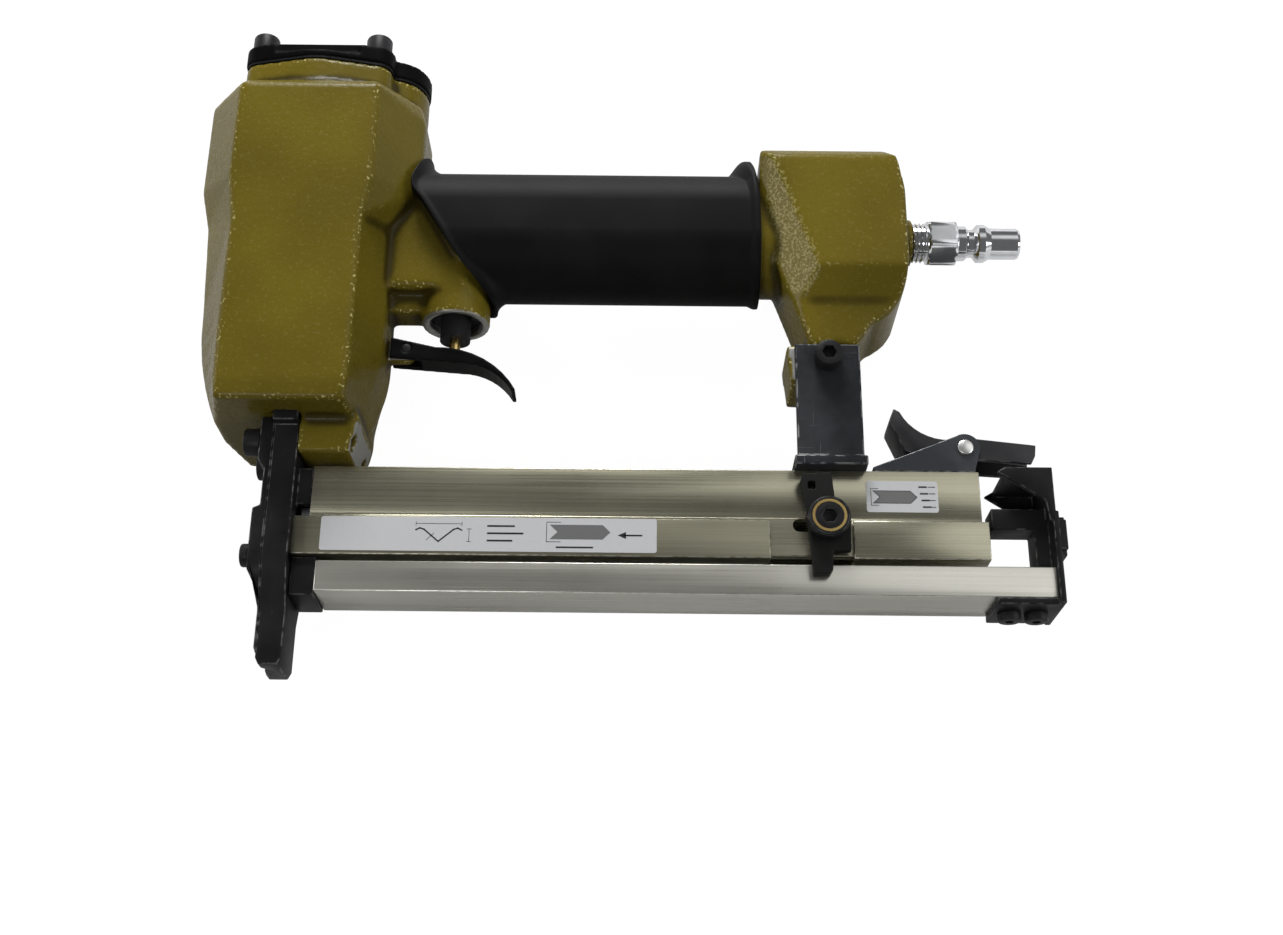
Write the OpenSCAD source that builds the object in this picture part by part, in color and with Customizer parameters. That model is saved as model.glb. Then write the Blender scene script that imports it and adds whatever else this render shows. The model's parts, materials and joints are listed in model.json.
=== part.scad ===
// Pneumatic v-nailer, stored lying on its side: barrel, handle, tail, nose, magazine and inner works.
// Inside the file x runs from the driver's axis towards the tail, y up the barrel from the foot line under it
// and z across the tool. place() then puts the origin under the middle of the whole tool.

/* [Barrel] */
// Reach of the upper block on each side of the driver's axis
upper_reach = 35.4; // [33:0.2:40]
// Reach of the lower block in front of the axis, where its round end starts
lower_front = 30.3; // [29:0.1:31.5]
// Reach of the lower block in front of the axis at the waist
waist_front = 32.2; // [31:0.1:34]
// Reach of the lower block behind the axis
lower_back = 26.8; // [25:0.1:28]
// Thickness over the two flat sides
barrel_t = 56; // [52:0.5:64]
// Width of the flat side of the upper block
upper_face_w = 43.6; // [36:0.2:50]
// Width of the flat side of the lower block
lower_face_w = 39.6; // [38:0.2:41]
// Height across the tool of the flats at the front and the back
edge_flat = 19; // [12:0.5:26]
// Height of the barrel's underside above the foot line
face_foot = 8; // [6:0.5:9]
// Height where the round lower end starts in front
foot_arc_h = 43; // [41:0.5:45]
// Radius of the round lower end in front
foot_arc_r = 90; // [84:1:100]
// Height where the round lower end starts behind
back_arc_h = 34; // [30:0.5:38]
// Radius of the round lower end behind
back_arc_r = 50; // [46:1:60]
// Height where the barrel starts to widen
waist_low = 75; // [73:0.5:77]
// Height where the barrel has its full upper reach
waist_high = 89; // [87:0.5:92]
// Drop of the waist from the front and the back to the flat sides
waist_dip = 5; // [3:0.5:6]
// Height of the shoulder under the neck
shoulder_h = 123; // [120:0.5:130]
// Height of the slope that ends the side faces at the shoulder
shoulder_drop = 4; // [3:0.5:6]
// Drop of the shoulder's edge from the front to the back
shoulder_lean = 4.6; // [0:0.2:6]
// Radius of the round neck
neck_r = 23.6; // [23:0.1:26]
// Height of the neck above the shoulder
neck_h = 9.4; // [8:0.2:11]
// Reach of the exhaust bulge behind the axis
bulge_reach = 34.5; // [32:0.5:38]
// Radius of the exhaust bulge
bulge_r = 12; // [9:0.5:14]
// Reach of the nose leg behind the axis
leg_reach = 19.6; // [18:0.2:22]
// Thickness of the nose leg
leg_t = 28; // [26:0.5:34]
// Distance from the foot line down to the nose leg's end
leg_drop = 3.4; // [2.6:0.2:4]

/* [Cylinder and piston] */
// Diameter of the barrel's bore
bore_d = 39; // [38:0.2:40]
// Diameter of the return chamber round the sleeve
chamber_d = 45; // [42:0.5:46]
// Height of the bore's floor above the foot
floor_h = 18; // [17:0.5:20]
// Outer diameter of the cylinder sleeve
sleeve_od = 35; // [34:0.2:36]
// Inner diameter of the cylinder sleeve
sleeve_id = 31; // [30:0.2:32]
// Height of the collar that seals the sleeve in the bore
collar_h = 10; // [8:0.5:11]
// Height of the rubber bumper under the piston
bumper_h = 10; // [8:0.5:12]
// Travel of the piston and its driver
stroke = 50; // [46:0.5:52]
// Height of the piston
piston_h = 12; // [11:0.5:14]
// Height of the head valve
head_valve_h = 12; // [10:0.5:13]
// Lift of the head valve
head_valve_lift = 3; // [2:0.5:4]
// Section of the sealing rings
ring_d = 2.1; // [1.8:0.1:2.4]
// Depth of the rings' grooves beyond the ring's own section
groove_spare = 0.1; // [0.05:0.05:0.2]

/* [Cap] */
// Thickness of the cap
cap_t = 6.1; // [5.5:0.1:8]
// Width over the two flats in the cap's upper part
cap_flat = 42; // [41:0.5:44]
// Thickness of the gasket under the cap
gasket_t = 0.8; // [0.5:0.1:1.5]
// Distance between the cap screws along the tool
cap_pitch_x = 37.6; // [37.4:0.2:39]
// Distance between the cap screws across the tool
cap_pitch_z = 29; // [29:0.2:31]
// Radius of the lobes round the cap screws
lobe_r = 5.3; // [5:0.1:6]

/* [Screws] */
// Thread diameter of the cap, nose and bracket screws
screw_d = 5; // [4.6:0.1:5.2]
// Head diameter of those screws
screw_head_d = 8.5; // [8:0.1:9.2]
// Head height of those screws
screw_head_h = 5; // [4:0.1:6]
// Height of a cap screw's head with its washer
cap_head_h = 6.3; // [5:0.1:7]
// Width across the flats of their hexagon sockets
screw_key = 4; // [3:0.1:4.2]
// Thread diameter of the small screws
small_screw_d = 4; // [3.5:0.1:4.2]
// Head diameter of the small screws
small_head_d = 7; // [6:0.1:7.4]
// Head height of the small screws
small_head_h = 2.6; // [2:0.1:3.2]
// Width across the flats of the small screws' sockets
small_key = 2.5; // [2:0.1:3]

/* [Handle] */
// Height of the handle's centre line above the foot
handle_y = 78.4; // [76:0.2:80]
// Height of the handle's core
core_h = 38.8; // [37:0.2:41]
// Thickness of the handle's core
core_t = 29.2; // [27:0.2:31]
// Wall of the hollow handle
handle_wall = 4; // [3:0.2:5]
// Wall of the rubber grip
grip_wall = 2.3; // [1.5:0.1:3]
// Place along the tool of the grip's front edge at the top
grip_top_x = 32; // [31:0.5:35]
// Place along the tool of the grip's rear edge
grip_rear_x = 144.6; // [142:0.1:144.8]
// Rise of the rubber lip round the grip's rear end
lip = 1; // [0.5:0.1:1.6]
// Rise of the grip's flares at the top of both ends
flare = 6; // [4:0.2:7]
// Drop of the grip's flare under the trigger valve
low_flare = 3.3; // [2:0.1:4]

/* [Tail] */
// Place along the tool of the tail block's front
tail_front_x = 145.6; // [145.2:0.2:147]
// Place along the tool of the tail block's rear face
tail_rear_x = 190.4; // [187:0.2:195]
// Height of the tail block's top above the foot
tail_top_y = 102.3; // [100:0.1:104]
// Thickness of the tail block
tail_t = 42; // [39:0.5:46]
// Place along the tool of the tail leg's front face
tail_leg_x = 152; // [150:0.5:153]
// Width of the tail leg
tail_leg_w = 20; // [18:0.5:22]
// Thickness of the tail leg
tail_leg_t = 20; // [17.5:0.5:24]
// Height of the tail leg's end above the foot
tail_leg_y = 23; // [18:0.5:24]
// Diameter of the air inlet's boss
inlet_boss_d = 15.4; // [15:0.1:18]
// Length of the air inlet's boss
inlet_boss_l = 4; // [3:0.5:7]

/* [Air plug] */
// Thread diameter of the air plug
plug_thread_d = 13; // [12:0.1:13.4]
// Length of thread that shows between the boss and the hexagon
plug_thread_show = 5.2; // [3:0.2:7]
// Width across the flats of the hexagon
plug_hex = 14; // [13.5:0.5:17]
// Length of the hexagon
plug_hex_l = 9.5; // [7:0.5:12]
// Length of the plug beyond the hexagon
plug_l = 20.6; // [18:0.2:24]
// Diameter of the plug's nose
plug_d = 10.1; // [9.5:0.1:10.6]
// Diameter of the plug's locking bulge
plug_bulge_d = 12.4; // [11.8:0.1:13]
// Diameter of the air passage
plug_bore_d = 6; // [5:0.2:7]

/* [Trigger] */
// Place along the tool of the trigger's pivot
pivot_x = 33.2; // [32.8:0.1:34]
// Height of the trigger's pivot above the foot
pivot_y = 36.2; // [35:0.1:37]
// Width of the trigger
trigger_w = 9; // [8:0.5:12]
// Wall of the trigger's fork
trigger_wall = 2; // [1.6:0.1:2.4]
// Diameter of the trigger's pin
pivot_pin_d = 3; // [2.5:0.1:3.2]
// Place along the tool of the trigger valve
valve_x = 47.9; // [47:0.1:48.5]
// Height of the trigger valve's face above the foot
valve_face_y = 46; // [44:0.5:47]
// Outer diameter of the valve's boss
valve_boss_d = 21.6; // [20:0.2:23]
// Diameter of the valve
valve_d = 16.4; // [15:0.2:17]
// Diameter of the valve's stem
stem_d = 3.5; // [3:0.1:4]
// Diameter of the valve's lower end
valve_nose_d = 9.6; // [9:0.2:10.4]
// Distance that the valve's lower end stands out of its boss
valve_nose_l = 5.2; // [4:0.2:5.6]

/* [Nose] */
// Distance from the foot down to the nose's tip
nose_reach = 68; // [64:0.5:72]
// Place along the tool of the joint between nose body and front plate, in front of the axis
nose_split = 3.3; // [3.2:0.1:4]
// Place along the tool of the nose body's rear face
nose_back = 4.2; // [4:0.1:5]
// Thickness of the nose across the tool
nose_t = 27; // [25.5:0.5:29]
// Thickness of the nose's tip across the tool
tip_t = 17; // [14:0.5:19]
// Thickness of the front plate
plate_t = 4.2; // [3.5:0.1:5]
// Depth of the recess in the front plate's middle
plate_step = 2.2; // [1:0.1:2.6]
// Distance of the nose screws from the middle plane
nose_screw_z = 9.5; // [9.2:0.1:9.8]
// Width of the driver's V
v_w = 10.2; // [9.6:0.1:10.4]
// Depth of the driver's V
v_depth = 4; // [3.5:0.1:4.4]
// Thickness of the driver's V along the tool
v_t = 2; // [1.6:0.1:2.6]

/* [Magazine] */
// Distance from the foot down to the magazine's top
mag_drop = 6; // [5:0.2:7]
// Place along the tool of the magazine rail's rear end
rail_end_x = 209.3; // [208:0.5:211]
// Thickness of the magazine rail
rail_t = 17; // [16.4:0.2:18]
// Height of the rail's solid head above the nail channel
rail_head = 12.2; // [11:0.2:14]
// Height of the nail channel
nail_h = 15.4; // [14:0.2:16]
// Width of the nail channel
nail_w = 11.2; // [10.6:0.2:11.6]
// Wall of the hollow in the rail's head
rail_wall = 2.6; // [2:0.1:3]
// Thickness of the cover strips
strip_t = 1.8; // [1.2:0.1:2.4]
// Height of the cover strips
strip_h = 12; // [9:0.5:14]
// Thickness of the strips' inner flanges
flange_t = 1.2; // [1:0.1:1.6]
// Width of the slot between the strips' flanges
flange_gap = 4.4; // [4.2:0.1:5]
// Place along the tool of the front strip's rear end
front_strip_x = 145.8; // [140:0.5:146]
// Place along the tool of the rear strip's front end
rear_strip_x = 170.5; // [170:0.5:176]
// Overhang of the strips beyond the rail's rear end
strip_over = 1.6; // [0.4:0.2:2]

/* [Drawer] */
// Gap between the strips and the drawer rail
drawer_gap = 1.7; // [1:0.1:2.4]
// Height of the drawer rail
drawer_h = 9.5; // [9:0.1:11]
// Thickness of the drawer rail
drawer_t = 19; // [18:0.2:19.2]
// Wall of the drawer rail
drawer_wall = 2.1; // [1.6:0.1:2.2]
// Place along the tool of the drawer rail's front end
drawer_front_x = 11.8; // [11:0.2:13]
// Distance that the drawer rail runs on past the magazine rail's rear end
drawer_over = 20.6; // [19:0.2:22]
// Diameter of the pusher's rod
rod_d = 2.5; // [2:0.1:2.8]
// Length of the pusher
pusher_l = 15; // [12:0.5:18]
// Outer diameter of the pusher's spring
pusher_spring_d = 4.8; // [4.4:0.1:4.9]
// Thickness of the drawer's end plate
end_plate_t = 1.8; // [1.4:0.1:3]
// Depth of the pull tab behind the end plate
pull_tab = 2.5; // [2:0.1:4]
// Thickness of the drawer's hood across the tool
hood_t = 22; // [20:0.5:25]
// Sheet thickness of the hood
hood_sheet = 1.6; // [1.2:0.1:2]

/* [Bracket] */
// Width of the bracket's plate
bracket_w = 20; // [18:0.5:22]
// Place along the tool of the bracket's front edge
bracket_x = 154.5; // [153:0.5:156]
// Thickness of the bracket's plate and foot
bracket_t = 3; // [2.5:0.1:4]
// Height of the bracket's top above the foot
bracket_top_y = 34.6; // [34.5:0.5:38]
// Height of the bracket's screw above the foot
bracket_screw_y = 29.5; // [28:0.5:30]

/* [Latch] */
// Distance from the latch's pivot to the magazine rail's rear end
latch_set = 3.5; // [3:0.1:4.2]
// Height of the latch's pivot above the magazine
latch_rise = 8; // [7.8:0.1:8.6]
// Diameter of the latch's pin
latch_pin_d = 4.9; // [4:0.1:5.2]
// Thickness of the latch base over its ears
latch_base_t = 16.6; // [16:0.2:17]
// Sheet thickness of the latch
latch_sheet = 1.4; // [1.2:0.1:1.6]
// Gap on each side between the lever and the ears
latch_gap = 0.4; // [0.3:0.1:0.6]

/* [Stop clip] */
// Place along the tool of the clip's clamp screw
clip_x = 162.8; // [162.4:0.2:163]
// Distance of the clamp screw below the magazine's top
clip_drop = 17.8; // [17:0.2:19]
// Thickness of the clip's plate
clip_t = 3.2; // [2.5:0.1:4]
// Travel of the clip
clip_travel = 8; // [5:0.5:8.5]
// Diameter of the clamp screw's head
knob_d = 12.6; // [11:0.2:14]
// Height of the clamp screw's head
knob_h = 4; // [3:0.2:6]
// Diameter of the brass ring in the head
brass_d = 10.2; // [9:0.1:10.6]

/* [Hidden] */
$fn = 64;

// Clearances: a running fit on the radius, a close fit and the usual gap between moving faces
run_fit = 0.06;
close_fit = 0.1;
slack = 0.3;
// Small step that lets a cut pass beyond the face it opens
over = 1;

// Barrel heights and the cylinder's chain from the floor up
neck_top = shoulder_h + neck_h;
cap_y = neck_top + gasket_t;
cap_top = cap_y + cap_t;
cap_screw_grip = 12;
cap_rim = 2.3;
cap_flat_l = 28;
bump_gap = 0.5;
piston_y = floor_h + bumper_h + bump_gap + stroke;
piston_ring_y = piston_y + piston_h - 2.4;
sleeve_top = piston_y + piston_h + 6;
seal_t = 1.5;
head_valve_y = sleeve_top + slack + seal_t;
spigot_low = head_valve_y + head_valve_h + head_valve_lift + slack;
head_valve_floor = 4;
head_valve_wall = 4.2;
head_valve_vent_r = 4;
reservoir_h = core_h/2 - handle_wall;
reservoir_t = core_t/2 - handle_wall;
collar_y = handle_y - reservoir_h - collar_h - 1;
chamber_y = floor_h + 4;
bumper_hole_r = 7;
shank_h = 8;
driver_pin_d = 2.5;

// Driver, nose and magazine
v_front = nose_split - close_fit;
v_apex = v_depth - v_front;
v_middle = v_apex - v_depth/2;
v_slope = v_w/2/v_depth;
nose_flange_top = face_foot + 4;
nose_flange_low = face_foot - 2.5;
nose_flange_t = nose_t + 7;
nose_taper_top = -nose_reach + 30;
nose_taper_low = -nose_reach + 16;
plate_front = nose_split + plate_t;
plate_top = face_foot - 0.2;
plate_block_top = nose_taper_top + 16.4;
plate_block_low = nose_taper_top - 2.4;
plate_tip_t = 0.8;
nose_screw_y = 0.9;
nose_low_screw_y = nose_taper_top + 2.6;
mag_top = -mag_drop;
nail_roof = mag_top - rail_head;
nail_floor = nail_roof - nail_h;
strip_low = nail_floor - flange_t;
drawer_top = strip_low - drawer_gap;
drawer_low = drawer_top - drawer_h;
drawer_rear_x = rail_end_x + drawer_over;
rod_y = (drawer_top + drawer_low)/2;
blade_tip = nail_roof + 1;
rail_front_x = nose_back + 4.4;
tongue_l = 18;
tongue_low = mag_top - rail_head + rail_wall + slack;
tongue_top = mag_top - rail_wall - slack;
rail_screw_l = 6;

// Handle and grip outlines
grip_h = core_h + 2*grip_wall;
grip_t = core_t + 2*grip_wall;
grip_top_y = handle_y + grip_h/2;
grip_low_y = handle_y - grip_h/2;
grip_lean = 0.578;
grip_bend_y = handle_y + 9;
grip_step = 2.4;
grip_round = 6;
grip_low_x = grip_top_x + grip_step + grip_lean*(grip_bend_y - grip_low_y);
web_low_y = valve_face_y + 9;
core_step = 1.5;
web_port_h = reservoir_h - 4;
arch_low_y = valve_face_y + 2.6;
flare_t = 0.65*grip_t;
front_flare_x = upper_reach + 1;
rear_bow = 7;
rear_flare_x = grip_rear_x - rear_bow;
low_flare_x = valve_x + valve_boss_d/2 + 1.3;

// Trigger and valve
lug_r = 3.3;
lug_t = trigger_w - 2*trigger_wall - 2*slack;
trigger_end_x = pivot_x - 5;
trigger_low_y = pivot_y - 3;
trigger_top_y = pivot_y + 3.8;
top_arc_x = pivot_x + 10.3;
top_arc_r = 27.9;
top_arc_y = pivot_y + 0.5 - top_arc_r;
low_arc_x = top_arc_x + 6.5;
low_arc_y = top_arc_y + 3.1;
low_arc_r = top_arc_r - 8.4;
stem_rear_y = top_arc_y + sqrt(pow(top_arc_r, 2) - pow(valve_x + stem_d/2 - top_arc_x, 2)) + slack;
stem_front_y = top_arc_y + sqrt(pow(top_arc_r, 2) - pow(valve_x - stem_d/2 - top_arc_x, 2)) + slack;
stem_tip_y = max(stem_rear_y, stem_front_y);
valve_y = valve_face_y + 3;
valve_top = handle_y - reservoir_h + 3;
valve_seat = 6;
stem_head_y = valve_y + valve_seat + slack;
stem_head_h = 2;
valve_room_r = valve_d/2 - 3.2;
valve_plug_h = 2.5;

// Tail, inlet and plug
tail_face_top = tail_top_y - 4;
tail_face_low = handle_y - 20;
tail_low_y = tail_face_low - 9;
tail_end_y = tail_low_y - 14.5;
tail_slant = 18.9;
tail_slant_k = 0.85;
tail_slant_x = tail_front_x + 10.1;
tail_lean = 3.5;
leg_taper = 1.5;
inlet_end_x = tail_rear_x + inlet_boss_l;
inlet_depth = 12;
hex_x = inlet_end_x + plug_thread_show;
plug_x = hex_x + plug_hex_l;
plug_end_x = plug_x + plug_l;

// Bracket
bracket_z = tail_leg_t/2;
bracket_screw_x = bracket_x + bracket_w/2;
bracket_foot_y = mag_top + bracket_t;
nut_h = 4;
foot_screw_x = 5;

// Latch
latch_x = rail_end_x - latch_set;
latch_y = mag_top + latch_rise;
latch_plate_y = mag_top + latch_sheet;
lever_t = latch_base_t - 2*latch_sheet - 2*latch_gap;
ear_r = 4.6;
latch_wire = 0.6;
latch_spring_r = latch_pin_d/2 + latch_wire;
spring_room_r = latch_spring_r + latch_wire/2 + slack;
latch_front_x = latch_x - 28.3;
rivet_x = 6;

// Drawer end
end_x = drawer_rear_x;
end_back = end_x + end_plate_t;
hood_y = mag_top + 0.8;
end_low = drawer_low - 2;
hood_l = 13;
hood_front = end_x - hood_l - 2.6;
hood_back = end_x + 1;
tab_top = nail_roof - 1;
bar_top = nail_roof + 1.9;
bar_low = nail_roof - 4.8;
bar_l = drawer_over - strip_over - 2;

// Pusher
pusher_x = nose_back + 1.2;
pusher_foot_x = drawer_front_x + 0.6;
pusher_rear = pusher_x + pusher_l;
cavity_t = drawer_t - 2*3.4;
cavity_h = drawer_h - 2*drawer_wall;

// Stop clip
clip_y = mag_top - clip_drop;
clip_back = drawer_t/2 + 0.4;
clip_front = clip_back + clip_t;
clip_shank_d = 4;
brass_depth = 0.6;
brass_w = 0.8;

// Whole tool
tool_front = -upper_reach;
tool_rear = end_back + pull_tab;
tool_low = -nose_reach;
tool_top = cap_top + cap_head_h;

// Sets the origin under the middle of the tool, with the tool lying on its far side
module place() {
    translate([-(tool_front + tool_rear)/2, -(tool_low + tool_top)/2, barrel_t/2]) children();
}

// Block between two corners
module box(low, high) {
    translate(low) cube(high - low);
}

// Round bar along y, x or z about a point of the other two axes
module rod_y(r, y0, y1, x = 0, z = 0) {
    translate([x, y0, z]) rotate([-90, 0, 0]) cylinder(r = r, h = y1 - y0);
}
module rod_x(r, x0, x1, y = 0, z = 0) {
    translate([x0, y, z]) rotate([0, 90, 0]) cylinder(r = r, h = x1 - x0);
}
module rod_z(r, z0, z1, x = 0, y = 0) {
    translate([x, y, z0]) cylinder(r = r, h = z1 - z0);
}

// Flat outline in x and z drawn out along y, in y and z along x, or in x and y along z
module along_y(y0, y1) {
    translate([0, y1, 0]) rotate([90, 0, 0]) linear_extrude(y1 - y0) children();
}
module along_x(x0, x1) {
    translate([x0, 0, 0]) rotate([90, 0, 90]) linear_extrude(x1 - x0) children();
}
module along_z(z0, z1) {
    translate([0, 0, z0]) linear_extrude(z1 - z0) children();
}

// Places its children on both sides of the middle plane
module both_sides() {
    children();
    mirror([0, 0, 1]) children();
}

// Ring of round section about the driver's axis, or about an axis beside it
module seal_ring(r, y, section_d, x = 0) {
    translate([x, y, 0]) rotate([-90, 0, 0]) rotate_extrude() translate([r - section_d/2, 0])
        circle(section_d/2, $fn = 24);
}

// Square groove for a sealing ring whose outer edge lies at radius r
module ring_groove(r, y, x = 0) {
    groove_h = ring_d + 2*groove_spare;
    translate([x, y - groove_h/2, 0]) rotate([-90, 0, 0]) difference() {
        cylinder(r = r + over, h = groove_h);
        translate([0, 0, -over]) cylinder(r = r - ring_d - groove_spare, h = groove_h + 2*over);
    }
}

// Points along an arc
function arc(cx, cy, r, a0, a1, steps = 8) =
    [for (i = [0:steps]) [cx + r*cos(a0 + (a1 - a0)*i/steps), cy + r*sin(a0 + (a1 - a0)*i/steps)]];

// Closed skin through rings that hold the same number of points
module skin(rings) {
    n = len(rings[0]);
    last = (len(rings) - 1)*n;
    polyhedron(
        points = [for (ring = rings) each ring],
        faces = concat(
            [for (i = [0:len(rings) - 2], j = [0:n - 1]) each [
                [i*n + j, i*n + (j + 1) % n, (i + 1)*n + j],
                [i*n + (j + 1) % n, (i + 1)*n + (j + 1) % n, (i + 1)*n + j]]],
            [for (j = [1:n - 2]) [0, j + 1, j]],
            [for (j = [1:n - 2]) [last, last + j, last + j + 1]]));
}

// Coil along z from 0: mean radius, wire diameter, length between the end wires' middles and turns
coil_sides = 6;
coil_steps = 8;
function coil_ring(r, wire_d, l, turns, i) =
    let (a = 360*i/coil_steps, z = wire_d/2 + l*i/(turns*coil_steps))
    [for (j = [0:coil_sides - 1])
        let (b = 360*j/coil_sides, q = r + wire_d/2*cos(b))
        [q*cos(a), q*sin(a), z + wire_d/2*sin(b)]];
module coil(r, wire_d, l, turns) {
    skin([for (i = [0:turns*coil_steps]) coil_ring(r, wire_d, l - wire_d, turns, i)]);
}

// Racetrack outline in the plane of y and z, centred on the handle
module racetrack(half_h, half_t) {
    translate([handle_y, 0]) {
        square([2*(half_h - half_t), 2*half_t], center = true);
        for (s = [-1, 1]) translate([s*(half_h - half_t), 0]) circle(half_t);
    }
}

// One outline of the barrel at height y: reach in front and behind, face width, flat and thickness, then how
// far the flat sides lie lower and the front higher
function barrel_ring(y, front, back, face_w, flat, t, dip = 0, rise = 0) = [
    [back, y - rise, -flat/2], [back, y - rise, flat/2], [face_w/2, y - dip, t/2], [-face_w/2, y - dip, t/2],
    [-front, y + rise, flat/2], [-front, y + rise, -flat/2], [-face_w/2, y - dip, -t/2],
    [face_w/2, y - dip, -t/2]];
// Loss of reach towards the barrel's round lower end
function foot_loss(y, h, r) = r - sqrt(pow(r, 2) - pow(max(0, h - y), 2));
foot_steps = 6;

module barrel_shell() {
    edge_ease = 1.2;
    skin(concat(
        [for (i = [0:foot_steps])
            let (y = face_foot + (foot_arc_h - face_foot)*i/foot_steps, ease = i == 0 ? edge_ease : 0,
                front_loss = foot_loss(y, foot_arc_h, foot_arc_r))
            barrel_ring(y, lower_front - front_loss, lower_back - foot_loss(y, back_arc_h, back_arc_r),
                lower_face_w - ease, edge_flat - 2*front_loss/3, barrel_t - 2*ease)],
        [barrel_ring(waist_low, waist_front, lower_back, lower_face_w, edge_flat, barrel_t, waist_dip),
         barrel_ring(waist_high, upper_reach, upper_reach, upper_face_w, edge_flat, barrel_t, waist_dip),
         barrel_ring(shoulder_h - shoulder_drop, upper_reach, upper_reach, upper_face_w, edge_flat, barrel_t,
            0, shoulder_lean/2),
         barrel_ring(shoulder_h, upper_reach - shoulder_drop/2, upper_reach - shoulder_drop/2,
            upper_face_w - shoulder_drop/2, edge_flat, barrel_t - 2*shoulder_drop)]));
}

// Leg behind the nose, with a leaning rear face
module nose_leg() {
    leg_lean = 2.6;
    along_z(-leg_t/2, leg_t/2) polygon([[nose_back, -leg_drop], [leg_reach, -leg_drop],
        [leg_reach + leg_lean, face_foot + over], [nose_back, face_foot + over]]);
}

// Outline of neck, gasket and cap in the plane of x and z
module neck_plan(grow = 0) {
    hull() {
        circle(neck_r + grow);
        cap_places() circle(lobe_r + grow);
    }
    translate([bulge_reach - bulge_r, 0]) circle(bulge_r + grow);
    translate([0, -bulge_r - grow]) square([bulge_reach - bulge_r, 2*(bulge_r + grow)]);
}
module cap_places() {
    for (sx = [-1, 1], sz = [-1, 1]) translate([sx*cap_pitch_x/2, sz*cap_pitch_z/2]) children();
}

// Flat wall of the casting between barrel, trigger valve and grip
module web() {
    along_z(-valve_boss_d/2, valve_boss_d/2) polygon([
        [0, grip_top_y], [grip_top_x - close_fit, grip_top_y],
        [grip_top_x - close_fit, grip_bend_y + grip_round],
        [grip_top_x + grip_step - close_fit, grip_bend_y],
        [grip_low_x + grip_lean*(grip_low_y - web_low_y) - close_fit, web_low_y], [0, web_low_y]]);
}

// Oval along the handle that starts a step behind the grip's slanted front edge
module handle_oval(half_h, half_t, end_x, step) {
    intersection() {
        along_x(0, end_x) racetrack(half_h, half_t);
        along_z(-barrel_t/2, barrel_t/2) polygon([
            [grip_top_x + step, grip_top_y], [grip_top_x + step, grip_bend_y + grip_round],
            [grip_top_x + grip_step + step, grip_bend_y],
            [grip_low_x + grip_lean*(grip_low_y - web_low_y) + step, web_low_y],
            [end_x + over, web_low_y], [end_x + over, grip_top_y]]);
    }
}

// Block behind the grip that holds the air inlet, with slanted front facets
module tail_block() {
    reach = 60;
    intersection() {
        along_z(-tail_t/2, tail_t/2) polygon(concat(
            [[tail_front_x, tail_low_y + 6], [tail_front_x, handle_y],
             [tail_front_x - tail_lean, tail_top_y - 3], [tail_front_x - tail_lean/2, tail_top_y],
             [tail_rear_x - 5.5, tail_top_y],
             [tail_rear_x - 2, tail_top_y - 4], [tail_rear_x, tail_face_top - 12],
             [tail_rear_x, tail_face_low + 4]],
            arc(tail_rear_x - 18, tail_face_low, 17.5, 0, -68, 6),
            [[tail_leg_x + tail_leg_w + 2, tail_end_y], [tail_leg_x, tail_end_y]]));
        along_x(tail_front_x - over, tail_rear_x + over) polygon([
            [tail_top_y, -tail_t/2 + 3.5], [tail_top_y, tail_t/2 - 3.5], [tail_face_top, tail_t/2],
            [tail_face_low, tail_t/2], [tail_low_y, tail_t/2 - 7], [tail_end_y, tail_t/2 - 8.5],
            [tail_end_y, -tail_t/2 + 8.5], [tail_low_y, -tail_t/2 + 7], [tail_face_low, -tail_t/2],
            [tail_face_top, -tail_t/2]]);
        translate([tail_slant_x, handle_y, 0]) rotate([0, 0, tail_slant]) along_y(-reach, reach) polygon([
            [reach, -tail_t/2], [reach, tail_t/2], [0, tail_t/2],
            [-tail_t/4, tail_t/2 - tail_slant_k*tail_t/4],
            [-tail_t/4, -tail_t/2 + tail_slant_k*tail_t/4], [0, -tail_t/2]]);
    }
}

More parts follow.
